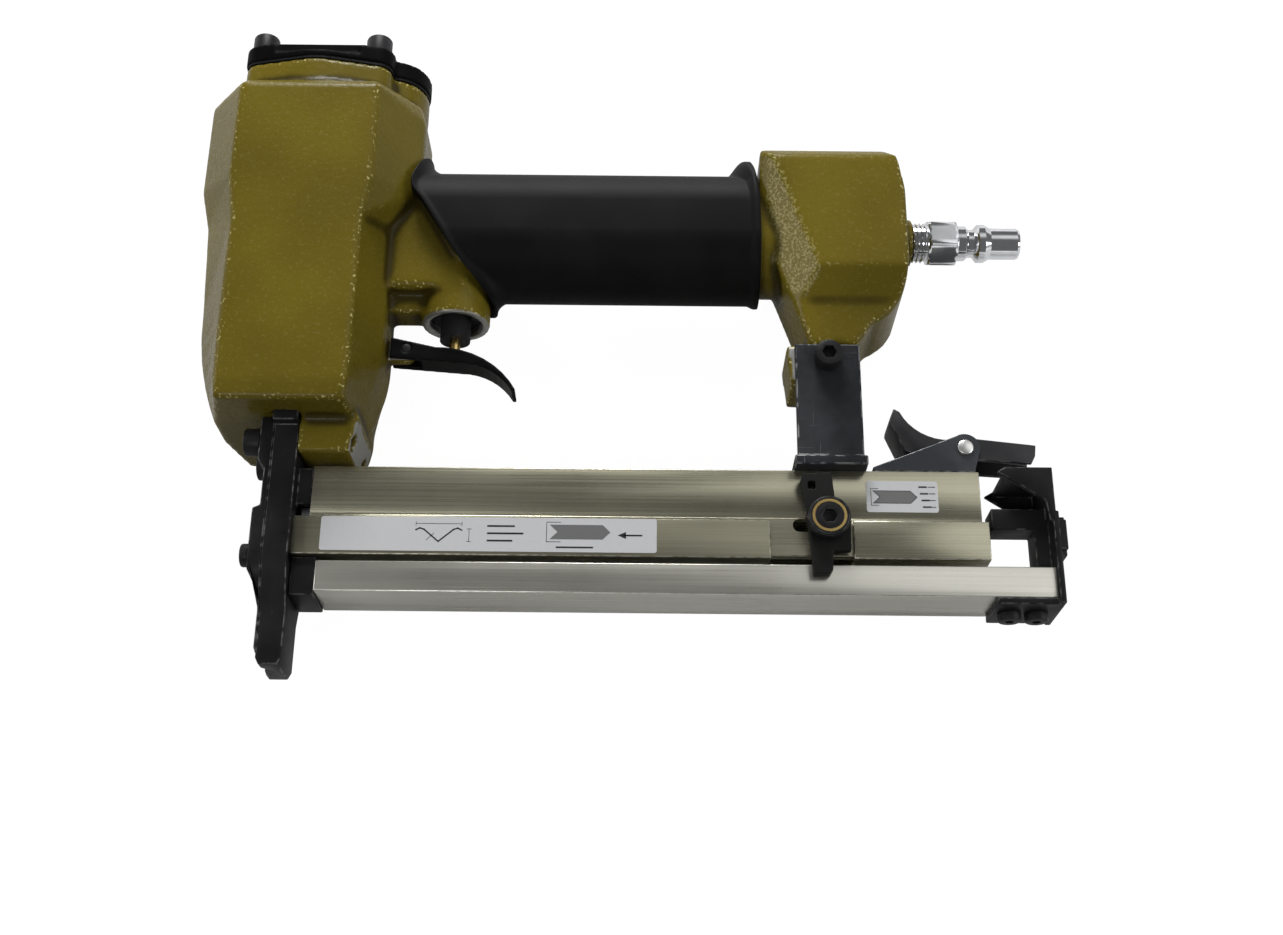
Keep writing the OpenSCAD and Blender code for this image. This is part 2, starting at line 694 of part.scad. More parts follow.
module housing() color("#8d8a3a") place() difference() {
    union() {
        barrel_shell();
        nose_leg();
        along_y(shoulder_h - over, neck_top) neck_plan();
        handle_oval(core_h/2, core_t/2, tail_front_x + 10, core_step);
        web();
        rod_y(valve_boss_d/2, valve_face_y, handle_y, valve_x);
        box([0, arch_low_y, -valve_boss_d/4], [valve_x - valve_d/2, web_low_y + over, valve_boss_d/4]);
        along_z(-lug_t/2, lug_t/2) {
            translate([pivot_x, pivot_y]) circle(lug_r);
            translate([0, pivot_y - lug_r]) square([pivot_x, 2*lug_r]);
        }
        tail_block();
        along_z(-tail_leg_t/2, tail_leg_t/2) polygon([[tail_leg_x, tail_end_y + over],
            [tail_leg_x + tail_leg_w, tail_end_y + over], [tail_leg_x + tail_leg_w - leg_taper, tail_leg_y],
            [tail_leg_x + leg_taper, tail_leg_y]]);
        rod_x(inlet_boss_d/2, tail_rear_x - over, inlet_end_x, handle_y);
    }
    rod_y(bore_d/2, floor_h, neck_top + over);
    rod_y(chamber_d/2, chamber_y, collar_y + over);
    rod_y(bumper_hole_r, nose_flange_top, floor_h + over, v_middle);
    handle_oval(reservoir_h, reservoir_t, tail_rear_x - inlet_depth, core_step + handle_wall);
    along_x(bore_d/4, grip_low_x + handle_wall) racetrack(web_port_h, valve_boss_d/2 - handle_wall);
    along_y(neck_top - cap_screw_grip - 2*over, neck_top + over) cap_places() circle(screw_d/2 + run_fit);
    box([-nose_split - close_fit, face_foot - over, -nose_flange_t/2 - close_fit],
        [nose_back, nose_flange_top + close_fit, nose_flange_t/2 + close_fit]);
    both_sides() rod_x(screw_d/2 + run_fit, nose_back - over, leg_reach + 2*over, nose_screw_y, nose_screw_z);
    rod_y(valve_d/2 + run_fit, valve_face_y - over, handle_y, valve_x);
    rod_z(pivot_pin_d/2 + run_fit, -barrel_t, barrel_t, pivot_x, pivot_y);
    rod_x(plug_thread_d/2 + run_fit, tail_rear_x - inlet_depth - over, inlet_end_x + over, handle_y);
    rod_z(screw_d/2 + run_fit, -barrel_t, barrel_t, bracket_screw_x, bracket_screw_y);
}

module cylinder_cap() color("#1e1f20") place() difference() {
    union() {
        along_y(cap_y, cap_top) neck_plan(0.4);
        rod_y(bore_d/2 - close_fit, spigot_low, cap_y + over);
    }
    both_sides() box([-cap_flat_l/2, cap_y + cap_rim, cap_flat/2], [cap_flat_l/2, cap_top + over, barrel_t]);
    rod_y(bore_d/2 - head_valve_wall, spigot_low - over, cap_y);
    along_y(cap_y - over, cap_top + over) cap_places() circle(screw_d/2 + close_fit);
}

module cap_gasket() color("#2b2b2b") place() along_y(neck_top, cap_y) difference() {
    neck_plan();
    circle(bore_d/2);
    cap_places() circle(screw_d/2 + close_fit);
}

// Socket screw along z: head from 0 up, shank from 0 down, hexagon socket in the head
module socket_screw(shank_l, d = screw_d, head_d = screw_head_d, head_h = screw_head_h, key = screw_key) {
    ease = 0.6;
    difference() {
        union() {
            cylinder(d = head_d, h = head_h - ease);
            translate([0, 0, head_h - ease]) cylinder(d1 = head_d, d2 = head_d - 2*ease, h = ease);
            translate([0, 0, -shank_l]) cylinder(d = d, h = shank_l);
        }
        translate([0, 0, head_h/2]) cylinder(d = key/cos(30), h = head_h, $fn = 6);
    }
}

module cap_screws() color("#161616") place()
    for (sx = [-1, 1], sz = [-1, 1]) translate([sx*cap_pitch_x/2, cap_top, sz*cap_pitch_z/2])
        rotate([-90, 0, 0]) socket_screw(cap_t + gasket_t + cap_screw_grip, head_h = cap_head_h);

module head_valve() color("#3a3d40") place() difference() {
    rod_y(bore_d/2 - run_fit, head_valve_y, head_valve_y + head_valve_h);
    rod_y(bore_d/2 - head_valve_wall, head_valve_y + head_valve_floor, head_valve_y + head_valve_h + over);
    rod_y(head_valve_vent_r, head_valve_y - over, head_valve_y + head_valve_h);
}

module head_valve_seal() color("#222222") place() along_y(head_valve_y - seal_t, head_valve_y) difference() {
    circle(sleeve_od/2 + 0.6);
    circle(sleeve_id/2 - 2);
}

head_spring_d = 1.8;
head_spring_r = bore_d/2 - head_valve_wall - 2.4;
head_spring_turns = 6;
head_spring_l = cap_y - head_valve_y - head_valve_floor - 2*close_fit;
module head_valve_spring() color("silver") place()
    translate([0, head_valve_y + head_valve_floor + close_fit, 0]) rotate([-90, 0, 0])
        coil(head_spring_r, head_spring_d, head_spring_l, head_spring_turns);

module cylinder_sleeve() color("#b9bcc0") place() difference() {
    union() {
        rod_y(sleeve_od/2, floor_h, sleeve_top);
        rod_y(bore_d/2 - run_fit, collar_y, collar_y + collar_h);
    }
    rod_y(sleeve_id/2, floor_h - over, sleeve_top + over);
    for (f = [1, 3]) ring_groove(bore_d/2 - run_fit, collar_y + collar_h*f/4);
}

module sleeve_seals() color("#222222") place()
    for (f = [1, 3]) seal_ring(bore_d/2 - run_fit, collar_y + collar_h*f/4, ring_d);

module piston() color("#9aa0a6") place() difference() {
    rod_y(sleeve_id/2 - run_fit, piston_y, piston_y + piston_h);
    ring_groove(sleeve_id/2 - run_fit, piston_ring_y);
    box([-v_front - run_fit, piston_y - over, -v_w/2 - run_fit],
        [v_apex + run_fit, piston_y + shank_h, v_w/2 + run_fit]);
    rod_z(driver_pin_d/2 + run_fit, -sleeve_id, sleeve_id, v_middle, piston_y + shank_h/2);
}

module piston_ring() color("#222222") place()
    seal_ring(sleeve_id/2 - run_fit, piston_ring_y, ring_d);

module driver_blade() color("#6f7378") place() difference() {
    union() {
        along_y(blade_tip, piston_y) polygon([
            [-v_front, v_w/2], [v_apex, 0], [-v_front, -v_w/2],
            [-v_front, -v_w/2 + v_t*v_slope], [v_apex - v_t, 0], [-v_front, v_w/2 - v_t*v_slope]]);
        box([-v_front, piston_y, -v_w/2], [v_apex, piston_y + shank_h, v_w/2]);
    }
    rod_z(driver_pin_d/2 + run_fit, -sleeve_id, sleeve_id, v_middle, piston_y + shank_h/2);
}

module driver_pin() color("#8a8d90") place()
    rod_z(driver_pin_d/2, -sleeve_id/2 + 2, sleeve_id/2 - 2, v_middle, piston_y + shank_h/2);

module piston_bumper() color("#30302c") place() difference() {
    rod_y(sleeve_id/2 - close_fit, floor_h, floor_h + bumper_h);
    rod_y(bumper_hole_r, floor_h - over, floor_h + bumper_h + over, v_middle);
}

// Side outline of the nose in the plane of y and z, up to the given top
module nose_side(top) {
    polygon([[top, -nose_t/2], [top, nose_t/2], [nose_taper_top, nose_t/2], [nose_taper_low, tip_t/2],
        [-nose_reach, tip_t/2], [-nose_reach, -tip_t/2], [nose_taper_low, -tip_t/2],
        [nose_taper_top, -nose_t/2]]);
}

module nose_body() color("#17181a") place() difference() {
    union() {
        intersection() {
            along_x(-nose_split, nose_back) nose_side(nose_flange_top);
            along_z(-nose_t, nose_t) polygon([
                [-nose_split, nose_flange_top], [nose_back, nose_flange_top], [nose_back, -nose_reach + 2],
                [nose_back - over, -nose_reach], [over - nose_split, -nose_reach],
                [-nose_split, -nose_reach + 2]]);
        }
        box([-nose_split, nose_flange_low, -nose_flange_t/2], [nose_back, nose_flange_top, nose_flange_t/2]);
        box([nose_back - over, nail_roof, -rail_t/2 + 0.6], [rail_front_x, mag_top - 0.6, rail_t/2 - 0.6]);
        box([nose_back - over, tongue_low, -nail_w/2 + slack],
            [rail_front_x + tongue_l, tongue_top, nail_w/2 - slack]);
    }
    along_y(-nose_reach - over, nose_flange_top + over) polygon([
        [-nose_split - over, v_w/2 + close_fit + (over + close_fit)*v_slope], [v_apex + 2*close_fit, 0],
        [-nose_split - over, -v_w/2 - close_fit - (over + close_fit)*v_slope]]);
    box([v_middle, nail_floor, -nail_w/2], [nose_back + over, nail_roof, nail_w/2]);
    both_sides() {
        rod_x(screw_d/2 + close_fit, -nose_split - over, nose_back + over, nose_screw_y, nose_screw_z);
        rod_x(small_screw_d/2 + run_fit, -nose_split - over, nose_back + over, nose_low_screw_y,
            nose_screw_z);
    }
    for (i = [1, 2])
        rod_y(small_screw_d/2 + run_fit, mag_top - rail_screw_l, mag_top, rail_front_x + i*tongue_l/3);
}

module nose_front_plate() color("#1b1c1e") place() difference() {
    intersection() {
        along_x(-plate_front, -nose_split) nose_side(plate_top);
        along_z(-nose_t, nose_t) polygon([
            [-nose_split, plate_top], [-plate_front, plate_top], [-plate_front, -mag_drop],
            [-plate_front + plate_step, -mag_drop - 3], [-plate_front + plate_step, plate_block_top + 1],
            [-plate_front, plate_block_top], [-plate_front, plate_block_low],
            [-nose_split - plate_tip_t, nose_taper_low + 5], [-nose_split - plate_tip_t, -nose_reach + 5],
            [-nose_split, -nose_reach + 3]]);
    }
    both_sides() {
        rod_x(screw_d/2 + close_fit, -plate_front - over, over, nose_screw_y, nose_screw_z);
        rod_x(small_screw_d/2 + close_fit, -plate_front - over, over, nose_low_screw_y, nose_screw_z);
    }
}

module nose_screws() color("#161616") place() both_sides() {
    translate([-plate_front, nose_screw_y, nose_screw_z]) rotate([0, -90, 0])
        socket_screw(plate_front + leg_reach - 2);
    translate([-plate_front, nose_low_screw_y, nose_screw_z]) rotate([0, -90, 0])
        socket_screw(plate_front + nose_back - over, small_screw_d, small_head_d, small_head_h, small_key);
}

module trigger() color("#141516") place() difference() {
    along_z(-trigger_w/2, trigger_w/2) polygon(concat(
        [[trigger_end_x, trigger_top_y], [trigger_end_x, trigger_low_y]],
        arc(low_arc_x, low_arc_y, low_arc_r, 90, 30),
        arc(top_arc_x, top_arc_y, top_arc_r, 28, 92)));
    box([trigger_end_x - over, trigger_low_y - over, -lug_t/2 - slack],
        [pivot_x + lug_r + 1.2, trigger_top_y + over, lug_t/2 + slack]);
    rod_z(pivot_pin_d/2 + run_fit, -trigger_w, trigger_w, pivot_x, pivot_y);
}

module trigger_pin() color("#9b9da0") place()
    rod_z(pivot_pin_d/2, -trigger_w/2, trigger_w/2, pivot_x, pivot_y);

module valve_body() color("#26272a") place() difference() {
    union() {
        rod_y(valve_d/2, valve_y, valve_top, valve_x);
        rod_y(valve_nose_d/2, valve_face_y - valve_nose_l, valve_y + over, valve_x);
    }
    rod_y(stem_d/2 + run_fit, valve_face_y - valve_nose_l - over, valve_top, valve_x);
    rod_y(valve_room_r, valve_y + valve_seat, valve_top + over, valve_x);
    ring_groove(valve_d/2, valve_y + valve_seat/2, valve_x);
}

module valve_seals() color("#222222") place() seal_ring(valve_d/2, valve_y + valve_seat/2, ring_d, valve_x);

module valve_stem() color("#b08d3f") place() {
    rod_y(stem_d/2, stem_tip_y, stem_head_y + over, valve_x);
    rod_y(valve_room_r - slack, stem_head_y, stem_head_y + stem_head_h, valve_x);
}

valve_spring_d = 0.6;
valve_spring_y = stem_head_y + stem_head_h + close_fit;
valve_spring_l = valve_top - valve_plug_h - valve_spring_y - close_fit;
module valve_spring() color("silver") place() translate([valve_x, valve_spring_y, 0]) rotate([-90, 0, 0])
    coil(valve_room_r - 1.6, valve_spring_d, valve_spring_l, 3);

module valve_plug() color("#8f9296") place() difference() {
    rod_y(valve_room_r - run_fit, valve_top - valve_plug_h, valve_top, valve_x);
    rod_y(1, valve_top - valve_plug_h - over, valve_top + over, valve_x);
}

module grip_sleeve() color("#121212") place() difference() {
    intersection() {
        union() {
            along_x(0, grip_rear_x + 4) racetrack(grip_h/2, grip_t/2);
            along_x(grip_rear_x - 5, grip_rear_x + 4) racetrack(grip_h/2 + lip, grip_t/2 + lip);
            along_z(-flare_t/2, flare_t/2) {
                polygon(concat([[grip_top_x, grip_top_y - 2*over], [grip_top_x, grip_top_y + flare]],
                    arc(front_flare_x + flare, grip_top_y + flare, flare, 180, 270, 6),
                    [[front_flare_x + flare, grip_top_y - 2*over]]));
                polygon(concat([[grip_rear_x, grip_top_y - 2*over], [grip_rear_x, grip_top_y + flare]],
                    arc(rear_flare_x - flare, grip_top_y + flare, flare, 0, -90, 6),
                    [[rear_flare_x - flare, grip_top_y - 2*over]]));
                polygon(concat([[valve_x, grip_low_y + 2*over], [valve_x, grip_low_y - low_flare]],
                    arc(low_flare_x + low_flare, grip_low_y - low_flare, low_flare, 180, 90, 6),
                    [[low_flare_x + low_flare, grip_low_y + 2*over]]));
            }
        }
        along_z(-barrel_t, barrel_t) polygon(concat(
            [[grip_top_x + grip_step, grip_bend_y], [grip_top_x, grip_bend_y + grip_round],
             [grip_top_x, grip_top_y + flare]],
            [for (p = arc(0, 0, 1, 90, -90))
                [grip_rear_x - rear_bow*pow(max(0, p[1]), 2), handle_y + (grip_h/2 + flare)*p[1]]],
            [[grip_low_x + grip_lean*flare, grip_low_y - flare]]));
    }
    along_x(-over, grip_rear_x + 5) racetrack(core_h/2 + run_fit, core_t/2 + run_fit);
    rod_y(valve_boss_d/2 + close_fit, 0, handle_y, valve_x);
    barrel_shell();
}

module air_plug() color("#cfd3d6") place() {
    ease = 1;
    collar_r = plug_d/2 + 0.6;
    waist_r = plug_d/2 - 0.5;
    difference() {
        union() {
            rod_x(plug_thread_d/2, inlet_end_x - inlet_depth + 2, hex_x + over, handle_y);
            intersection() {
                translate([hex_x, handle_y, 0]) rotate([0, 90, 0]) rotate([0, 0, 30])
                    cylinder(d = plug_hex/cos(30), h = plug_hex_l, $fn = 6);
                translate([hex_x, handle_y, 0]) rotate([0, 90, 0]) rotate_extrude() polygon([
                    [0, 0], [plug_hex/2, 0], [plug_hex/cos(30)/2, ease],
                    [plug_hex/cos(30)/2, plug_hex_l - ease],
                    [plug_hex/2, plug_hex_l], [0, plug_hex_l]]);
            }
            translate([plug_x - over, handle_y, 0]) rotate([0, 90, 0]) rotate_extrude() polygon([
                [0, 0], [collar_r, 0], [collar_r, over + 3], [waist_r, over + 4], [waist_r, over + 5.6],
                [plug_bulge_d/2, over + 7], [plug_bulge_d/2, over + 9], [plug_d/2, over + 11],
                [plug_d/2, over + plug_l - ease], [plug_d/2 - ease, over + plug_l], [0, over + plug_l]]);
        }
        rod_x(plug_bore_d/2, inlet_end_x - inlet_depth, plug_end_x + over, handle_y);
    }
}

module magazine_bracket() color("#202226") place() difference() {
    union() {
        box([bracket_x, mag_top, bracket_z], [bracket_x + bracket_w, bracket_top_y, bracket_z + bracket_t]);
        box([bracket_x - 1, mag_top, -rail_t/2],
            [bracket_x + bracket_w + 1, bracket_foot_y, bracket_z + bracket_t + 0.8]);
    }
    rod_z(screw_d/2 + close_fit, 0, barrel_t, bracket_screw_x, bracket_screw_y);
    for (s = [-1, 1]) rod_y(small_screw_d/2 + close_fit, mag_top - over, bracket_foot_y + over,
        bracket_screw_x + s*foot_screw_x);
}

module bracket_screw() color("#161616") place()
    translate([bracket_screw_x, bracket_screw_y, bracket_z + bracket_t])
        socket_screw(bracket_t + tail_leg_t + nut_h + over);

module bracket_nut() color("#85888c") place()
    translate([bracket_screw_x, bracket_screw_y, -tail_leg_t/2 - nut_h]) difference() {
        cylinder(d = 1.6*screw_d/cos(30), h = nut_h, $fn = 6);
        translate([0, 0, -over]) cylinder(d = screw_d + 2*run_fit, h = nut_h + 2*over);
    }

module bracket_foot_screws() color("#161616") place()
    for (s = [-1, 1]) translate([bracket_screw_x + s*foot_screw_x, bracket_foot_y, 0]) rotate([-90, 0, 0])
        socket_screw(bracket_t + rail_wall, small_screw_d, small_head_d, small_head_h, small_key);

module magazine_rail() color("#7c7d62") place() difference() {
    box([rail_front_x, nail_floor, -rail_t/2], [rail_end_x, mag_top, rail_t/2]);
    box([rail_front_x - over, nail_floor - over, -nail_w/2], [rail_end_x + over, nail_roof, nail_w/2]);
    box([rail_front_x - over, nail_roof + rail_wall, -nail_w/2],
        [rail_end_x + over, mag_top - rail_wall, nail_w/2]);
    for (i = [1, 2]) rod_y(small_screw_d/2 + run_fit, mag_top - rail_wall - over, mag_top + over,
        rail_front_x + i*tongue_l/3);
    for (s = [-1, 1]) rod_y(small_screw_d/2 + run_fit, mag_top - rail_wall - over, mag_top + over,
        bracket_screw_x + s*foot_screw_x);
    latch_places() rod_y(small_screw_d/2 + run_fit, mag_top - rail_wall - over, mag_top + over);
    along_z(0, rail_t) {
        translate([clip_x - clip_travel, clip_y - clip_shank_d/2 - close_fit])
            square([clip_travel, clip_shank_d + 2*close_fit]);
        for (x = [clip_x - clip_travel, clip_x]) translate([x, clip_y]) circle(clip_shank_d/2 + close_fit);
    }
}

module rail_screws() color("#2a2b2d") place()
    for (i = [1, 2]) rod_y(small_screw_d/2, mag_top - rail_screw_l, mag_top, rail_front_x + i*tongue_l/3);

// Cover strip on one side: flat wall with an inner flange that carries the nails
module strip(x0, x1) {
    box([x0, strip_low, rail_t/2], [x1, strip_low + strip_h, rail_t/2 + strip_t]);
    box([x0, strip_low, flange_gap/2], [x1, nail_floor, rail_t/2 + strip_t]);
}
module front_strip() color("#777a60") place() strip(nose_back, front_strip_x);
module rear_strip() color("#777a60") place() strip(rear_strip_x, rail_end_x + strip_over);
module back_strip() color("#777a60") place() mirror([0, 0, 1]) strip(nose_back, rail_end_x + strip_over);

// Places of the rivets that hold the latch base on the rail
module latch_places() {
    for (x = [latch_front_x + rivet_x, latch_x - 9]) translate([x, 0, 0]) children();
}

module latch_base() color("#232529") place() difference() {
    union() {
        box([latch_front_x, mag_top, -latch_base_t/2], [rail_end_x - 1, latch_plate_y, latch_base_t/2]);
        both_sides() along_z(latch_base_t/2 - latch_sheet, latch_base_t/2) {
            translate([latch_x, latch_y]) circle(ear_r);
            polygon([[latch_front_x, mag_top], [rail_end_x - 1, mag_top],
                [latch_x + ear_r - 0.3, latch_y - over],
                [latch_x - 2, latch_y + ear_r - 0.4], [latch_front_x, latch_plate_y]]);
        }
    }
    rod_z(latch_pin_d/2 + run_fit, -barrel_t, barrel_t, latch_x, latch_y);
    latch_places() rod_y(small_screw_d/2 + close_fit, mag_top - over, latch_plate_y + over);
}

module latch_rivets() color("#2a2b2d") place() latch_places() {
    rod_y(small_screw_d/2, mag_top - rail_wall, latch_plate_y + 0.2);
    rod_y(small_screw_d/2 + 1, latch_plate_y, latch_plate_y + 0.8);
}

module latch_pin() color("#c9ccce") place()
    rod_z(latch_pin_d/2, -latch_base_t/2 - 1, latch_base_t/2 + 1, latch_x, latch_y);

// Side outline of the latch lever, from the thumb tip round to the rear end
module lever_outline() {
    translate([latch_x, latch_y]) polygon(concat(
        [[-22, 10.8], [-22.2, 9.4], [-18.2, -0.2], [-13.2, -2.2], [20.3, -4.2], [21.6, -1.6], [22, 1.9],
         [4.6, 3.8]],
        arc(0, 0, 4.6, 70, 110, 4),
        arc(-4.5, 19.5, 16, -88, -155),
        [[-20.8, 13.8]]));
}
module latch_lever() color("#1a1b1d") place() difference() {
    along_z(-lever_t/2, lever_t/2) lever_outline();
    along_z(-lever_t/2 + latch_sheet, lever_t/2 - latch_sheet)
        translate([1.2*latch_sheet, -1.4*latch_sheet]) lever_outline();
    rod_z(spring_room_r, -lever_t/2 + latch_sheet, lever_t/2 - latch_sheet, latch_x, latch_y);
    rod_z(latch_pin_d/2 + run_fit, -barrel_t, barrel_t, latch_x, latch_y);
}

latch_spring_l = lever_t - 2*latch_sheet - 2*slack;
module latch_spring() color("silver") place() translate([latch_x, latch_y, -latch_spring_l/2])
    coil(latch_spring_r, latch_wire, latch_spring_l, 6);

module drawer_rail() color("#a3a49b") place() difference() {
    box([drawer_front_x, drawer_low, -drawer_t/2], [drawer_rear_x, drawer_top, drawer_t/2]);
    box([drawer_front_x - over, drawer_low + drawer_wall, -cavity_t/2],
        [drawer_rear_x + over, drawer_top - drawer_wall, cavity_t/2]);
    box([drawer_front_x - over, rod_y, -flange_gap/2],
        [drawer_rear_x + over, drawer_top + over, flange_gap/2]);
    drawer_screw_places()
        rod_y(small_screw_d/2 + run_fit, drawer_low - over, drawer_low + drawer_wall + over);
}

// Places of the two screws that hold the end block under the drawer rail
module drawer_screw_places() {
    for (x = [end_x - 13, end_x - 5]) translate([x, 0, 0]) children();
}

module drawer_front_block() color("#191a1c") place() difference() {
    box([nose_back + slack, drawer_low - 1, -rail_t/2], [drawer_front_x, drawer_top + 1.3, rail_t/2]);
    rod_x(rod_d/2 + run_fit, nose_back + 2, drawer_front_x + over, rod_y);
}

module drawer_end_block() color("#191a1c") place() difference() {
    union() {
        box([end_x, end_low, -hood_t/2], [end_back, tab_top, hood_t/2]);
        box([hood_back - hood_sheet, tab_top - over, -hood_t/2], [hood_back, hood_y, hood_t/2]);
        box([end_x - hood_l, hood_y - hood_sheet, -hood_t/2], [hood_back, hood_y, hood_t/2]);
        both_sides() along_z(hood_t/2 - hood_sheet, hood_t/2) polygon([
            [hood_front, hood_y - hood_sheet], [end_x - hood_l, hood_y], [end_x, hood_y],
            [end_x, nail_roof - 4],
            [end_x - 1, nail_roof - 4], [end_x - 1.8, nail_roof + 2.4]]);
        box([end_x - bar_l, bar_low, -nail_w/2 + over], [end_x, bar_top, nail_w/2 - over]);
        box([end_x - 4.5, drawer_top, -nail_w/2 + over], [end_x, bar_top, nail_w/2 - over]);
        along_x(end_back, end_back + pull_tab) translate([(nail_roof + nail_floor)/2, 0]) {
            square([nail_h - 6, hood_t - 4], center = true);
            for (s = [-1, 1]) translate([s*(nail_h/2 - 3), 0]) square([3, hood_t - 8], center = true);
        }
        box([end_x - 18, end_low, -drawer_t/2], [end_x, drawer_low, drawer_t/2]);
    }
    rod_x(rod_d/2 + run_fit, end_x - over, end_back + over, rod_y);
    drawer_screw_places() rod_y(small_screw_d/2 + close_fit, end_low - over, drawer_low + over);
}

module drawer_screws() color("#2a2b2d") place()
    drawer_screw_places() translate([0, end_low, 0]) rotate([90, 0, 0])
        socket_screw(drawer_low - end_low + drawer_wall, small_screw_d, small_head_d, small_head_h,
            small_key);

module pusher() color("#55585c") place() difference() {
    union() {
        along_y(nail_floor + slack, nail_roof - slack) polygon([
            [pusher_x, nail_w/2 - slack], [pusher_x + v_depth, 0], [pusher_x, -nail_w/2 + slack],
            [pusher_rear, -nail_w/2 + slack], [pusher_rear, nail_w/2 - slack]]);
        box([pusher_foot_x, rod_y, -flange_gap/2 + slack],
            [pusher_rear, nail_floor + over, flange_gap/2 - slack]);
        box([pusher_foot_x, rod_y - cavity_h/2 + slack, -cavity_t/2 + slack],
            [pusher_rear, rod_y + cavity_h/2 - slack, cavity_t/2 - slack]);
    }
    rod_x(rod_d/2 + run_fit, pusher_x, pusher_rear + over, rod_y);
}

module pusher_rod() color("#b5b8bb") place() rod_x(rod_d/2, nose_back + 2, end_back, rod_y);

pusher_spring_wire = 0.6;
pusher_spring_turns = 40;
pusher_spring_l = end_x - pusher_rear - 2*close_fit;
module pusher_spring() color("silver") place()
    translate([pusher_rear + close_fit, rod_y, 0]) rotate([0, 90, 0])
        coil((pusher_spring_d - pusher_spring_wire)/2, pusher_spring_wire, pusher_spring_l,
            pusher_spring_turns);

module stop_clip() color("#151617") place() difference() {
    union() {
        along_z(clip_back, clip_front) translate([clip_x, clip_y]) polygon([
            [-7.9, 12.5], [-7.2, 15], [1.5, 15.4], [2.2, 7.5], [6.8, 0.2], [6.5, -9.2], [1.1, -9.6],
            [1, -15.4], [-0.1, -16.7], [-4.8, -16.7], [-5.1, -12.4], [-5.6, -4.6], [-6.6, 3.2]]);
        along_z(rail_t/2 + run_fit, clip_back) translate([clip_x, clip_y]) polygon([
            [-7, 12.5], [1.5, 12.5], [2.2, 7.5], [6, 0], [6, -8.4], [-5, -8.4], [-5.6, -4.6], [-6.2, 3.2]]);
    }
    rod_z(clip_shank_d/2 + run_fit, 0, barrel_t, clip_x, clip_y);
    along_z(0, barrel_t) translate([clip_x - 4.6, clip_y + 11.2]) square(2.4, center = true);
}

module clamp_screw() color("#191a1b") place() translate([clip_x, clip_y, clip_front + run_fit]) difference() {
    union() {
        cylinder(d = knob_d, h = knob_h - 0.5);
        translate([0, 0, knob_h - 0.5]) cylinder(d1 = knob_d, d2 = knob_d - 1, h = 0.5);
        translate([0, 0, nail_w/2 + slack - clip_front - run_fit])
            cylinder(d = clip_shank_d, h = clip_front - nail_w/2);
    }
    translate([0, 0, knob_h - brass_depth]) difference() {
        cylinder(d = brass_d + 2*run_fit, h = over);
        translate([0, 0, -over]) cylinder(d = brass_d - 2*brass_w - 2*run_fit, h = 3*over);
    }
    translate([0, 0, knob_h/2]) cylinder(d = screw_key/cos(30), h = knob_h, $fn = 6);
}

module clamp_ring() color("#b58b3c") place()
    translate([clip_x, clip_y, clip_front + run_fit + knob_h - brass_depth]) difference() {
        cylinder(d = brass_d, h = brass_depth + 0.1);
        translate([0, 0, -over]) cylinder(d = brass_d - 2*brass_w, h = 3*over);
    }

housing();
cylinder_cap();
cap_gasket();
cap_screws();
head_valve();
head_valve_seal();
head_valve_spring();
cylinder_sleeve();
sleeve_seals();
piston();
piston_ring();
driver_blade();
driver_pin();
piston_bumper();
nose_body();
nose_front_plate();
nose_screws();
trigger();
trigger_pin();
valve_body();
valve_seals();
valve_stem();
valve_spring();
valve_plug();
grip_sleeve();
air_plug();
magazine_bracket();
bracket_screw();
bracket_nut();
bracket_foot_screws();
magazine_rail();
rail_screws();
front_strip();
rear_strip();
back_strip();
latch_base();
latch_rivets();
latch_pin();
latch_lever();
latch_spring();
drawer_rail();
drawer_front_block();
drawer_end_block();
drawer_screws();
pusher();
pusher_rod();
pusher_spring();
stop_clip();
clamp_screw();
clamp_ring();
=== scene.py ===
"""Looks of a pneumatic v-nailer that lies on its side.

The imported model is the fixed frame. Sizes here are millimetres in the tool's own directions: x runs from the
driver's axis towards the tail, y up the barrel from the foot line, and z across the tool from its middle plane. The
handle's middle line lies at HANDLE_Y.
"""

import json
import logging
import math
from dataclasses import dataclass
from enum import Enum
from typing import Any, Callable, Optional, Sequence, Union

import bmesh
import bpy
from mathutils import Matrix, Vector


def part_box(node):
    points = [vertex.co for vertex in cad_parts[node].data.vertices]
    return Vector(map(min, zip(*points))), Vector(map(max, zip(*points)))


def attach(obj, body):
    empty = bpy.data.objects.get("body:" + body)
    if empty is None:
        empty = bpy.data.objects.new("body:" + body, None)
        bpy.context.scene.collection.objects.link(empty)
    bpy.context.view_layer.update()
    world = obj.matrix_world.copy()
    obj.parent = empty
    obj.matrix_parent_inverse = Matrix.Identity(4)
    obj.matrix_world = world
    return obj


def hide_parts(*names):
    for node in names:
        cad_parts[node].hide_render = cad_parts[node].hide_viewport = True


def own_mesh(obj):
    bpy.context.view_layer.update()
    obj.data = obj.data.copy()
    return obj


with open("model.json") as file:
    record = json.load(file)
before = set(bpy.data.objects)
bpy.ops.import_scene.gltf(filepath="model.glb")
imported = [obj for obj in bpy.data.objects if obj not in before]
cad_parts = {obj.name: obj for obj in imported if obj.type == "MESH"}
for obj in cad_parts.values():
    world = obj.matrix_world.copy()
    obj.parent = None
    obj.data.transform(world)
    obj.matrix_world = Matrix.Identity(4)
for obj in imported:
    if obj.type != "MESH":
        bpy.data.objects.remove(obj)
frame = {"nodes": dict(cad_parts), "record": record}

LOG = logging.getLogger("v_nailer")
MM = 0.001
HANDLE_Y = 78.4
WELD = 0.002
FINE_WELD = 0.001
FLAT_ANGLE = 0.5

Colour = tuple[float, float, float]
Outline = Sequence[tuple[float, float]]


# Frame of the tool


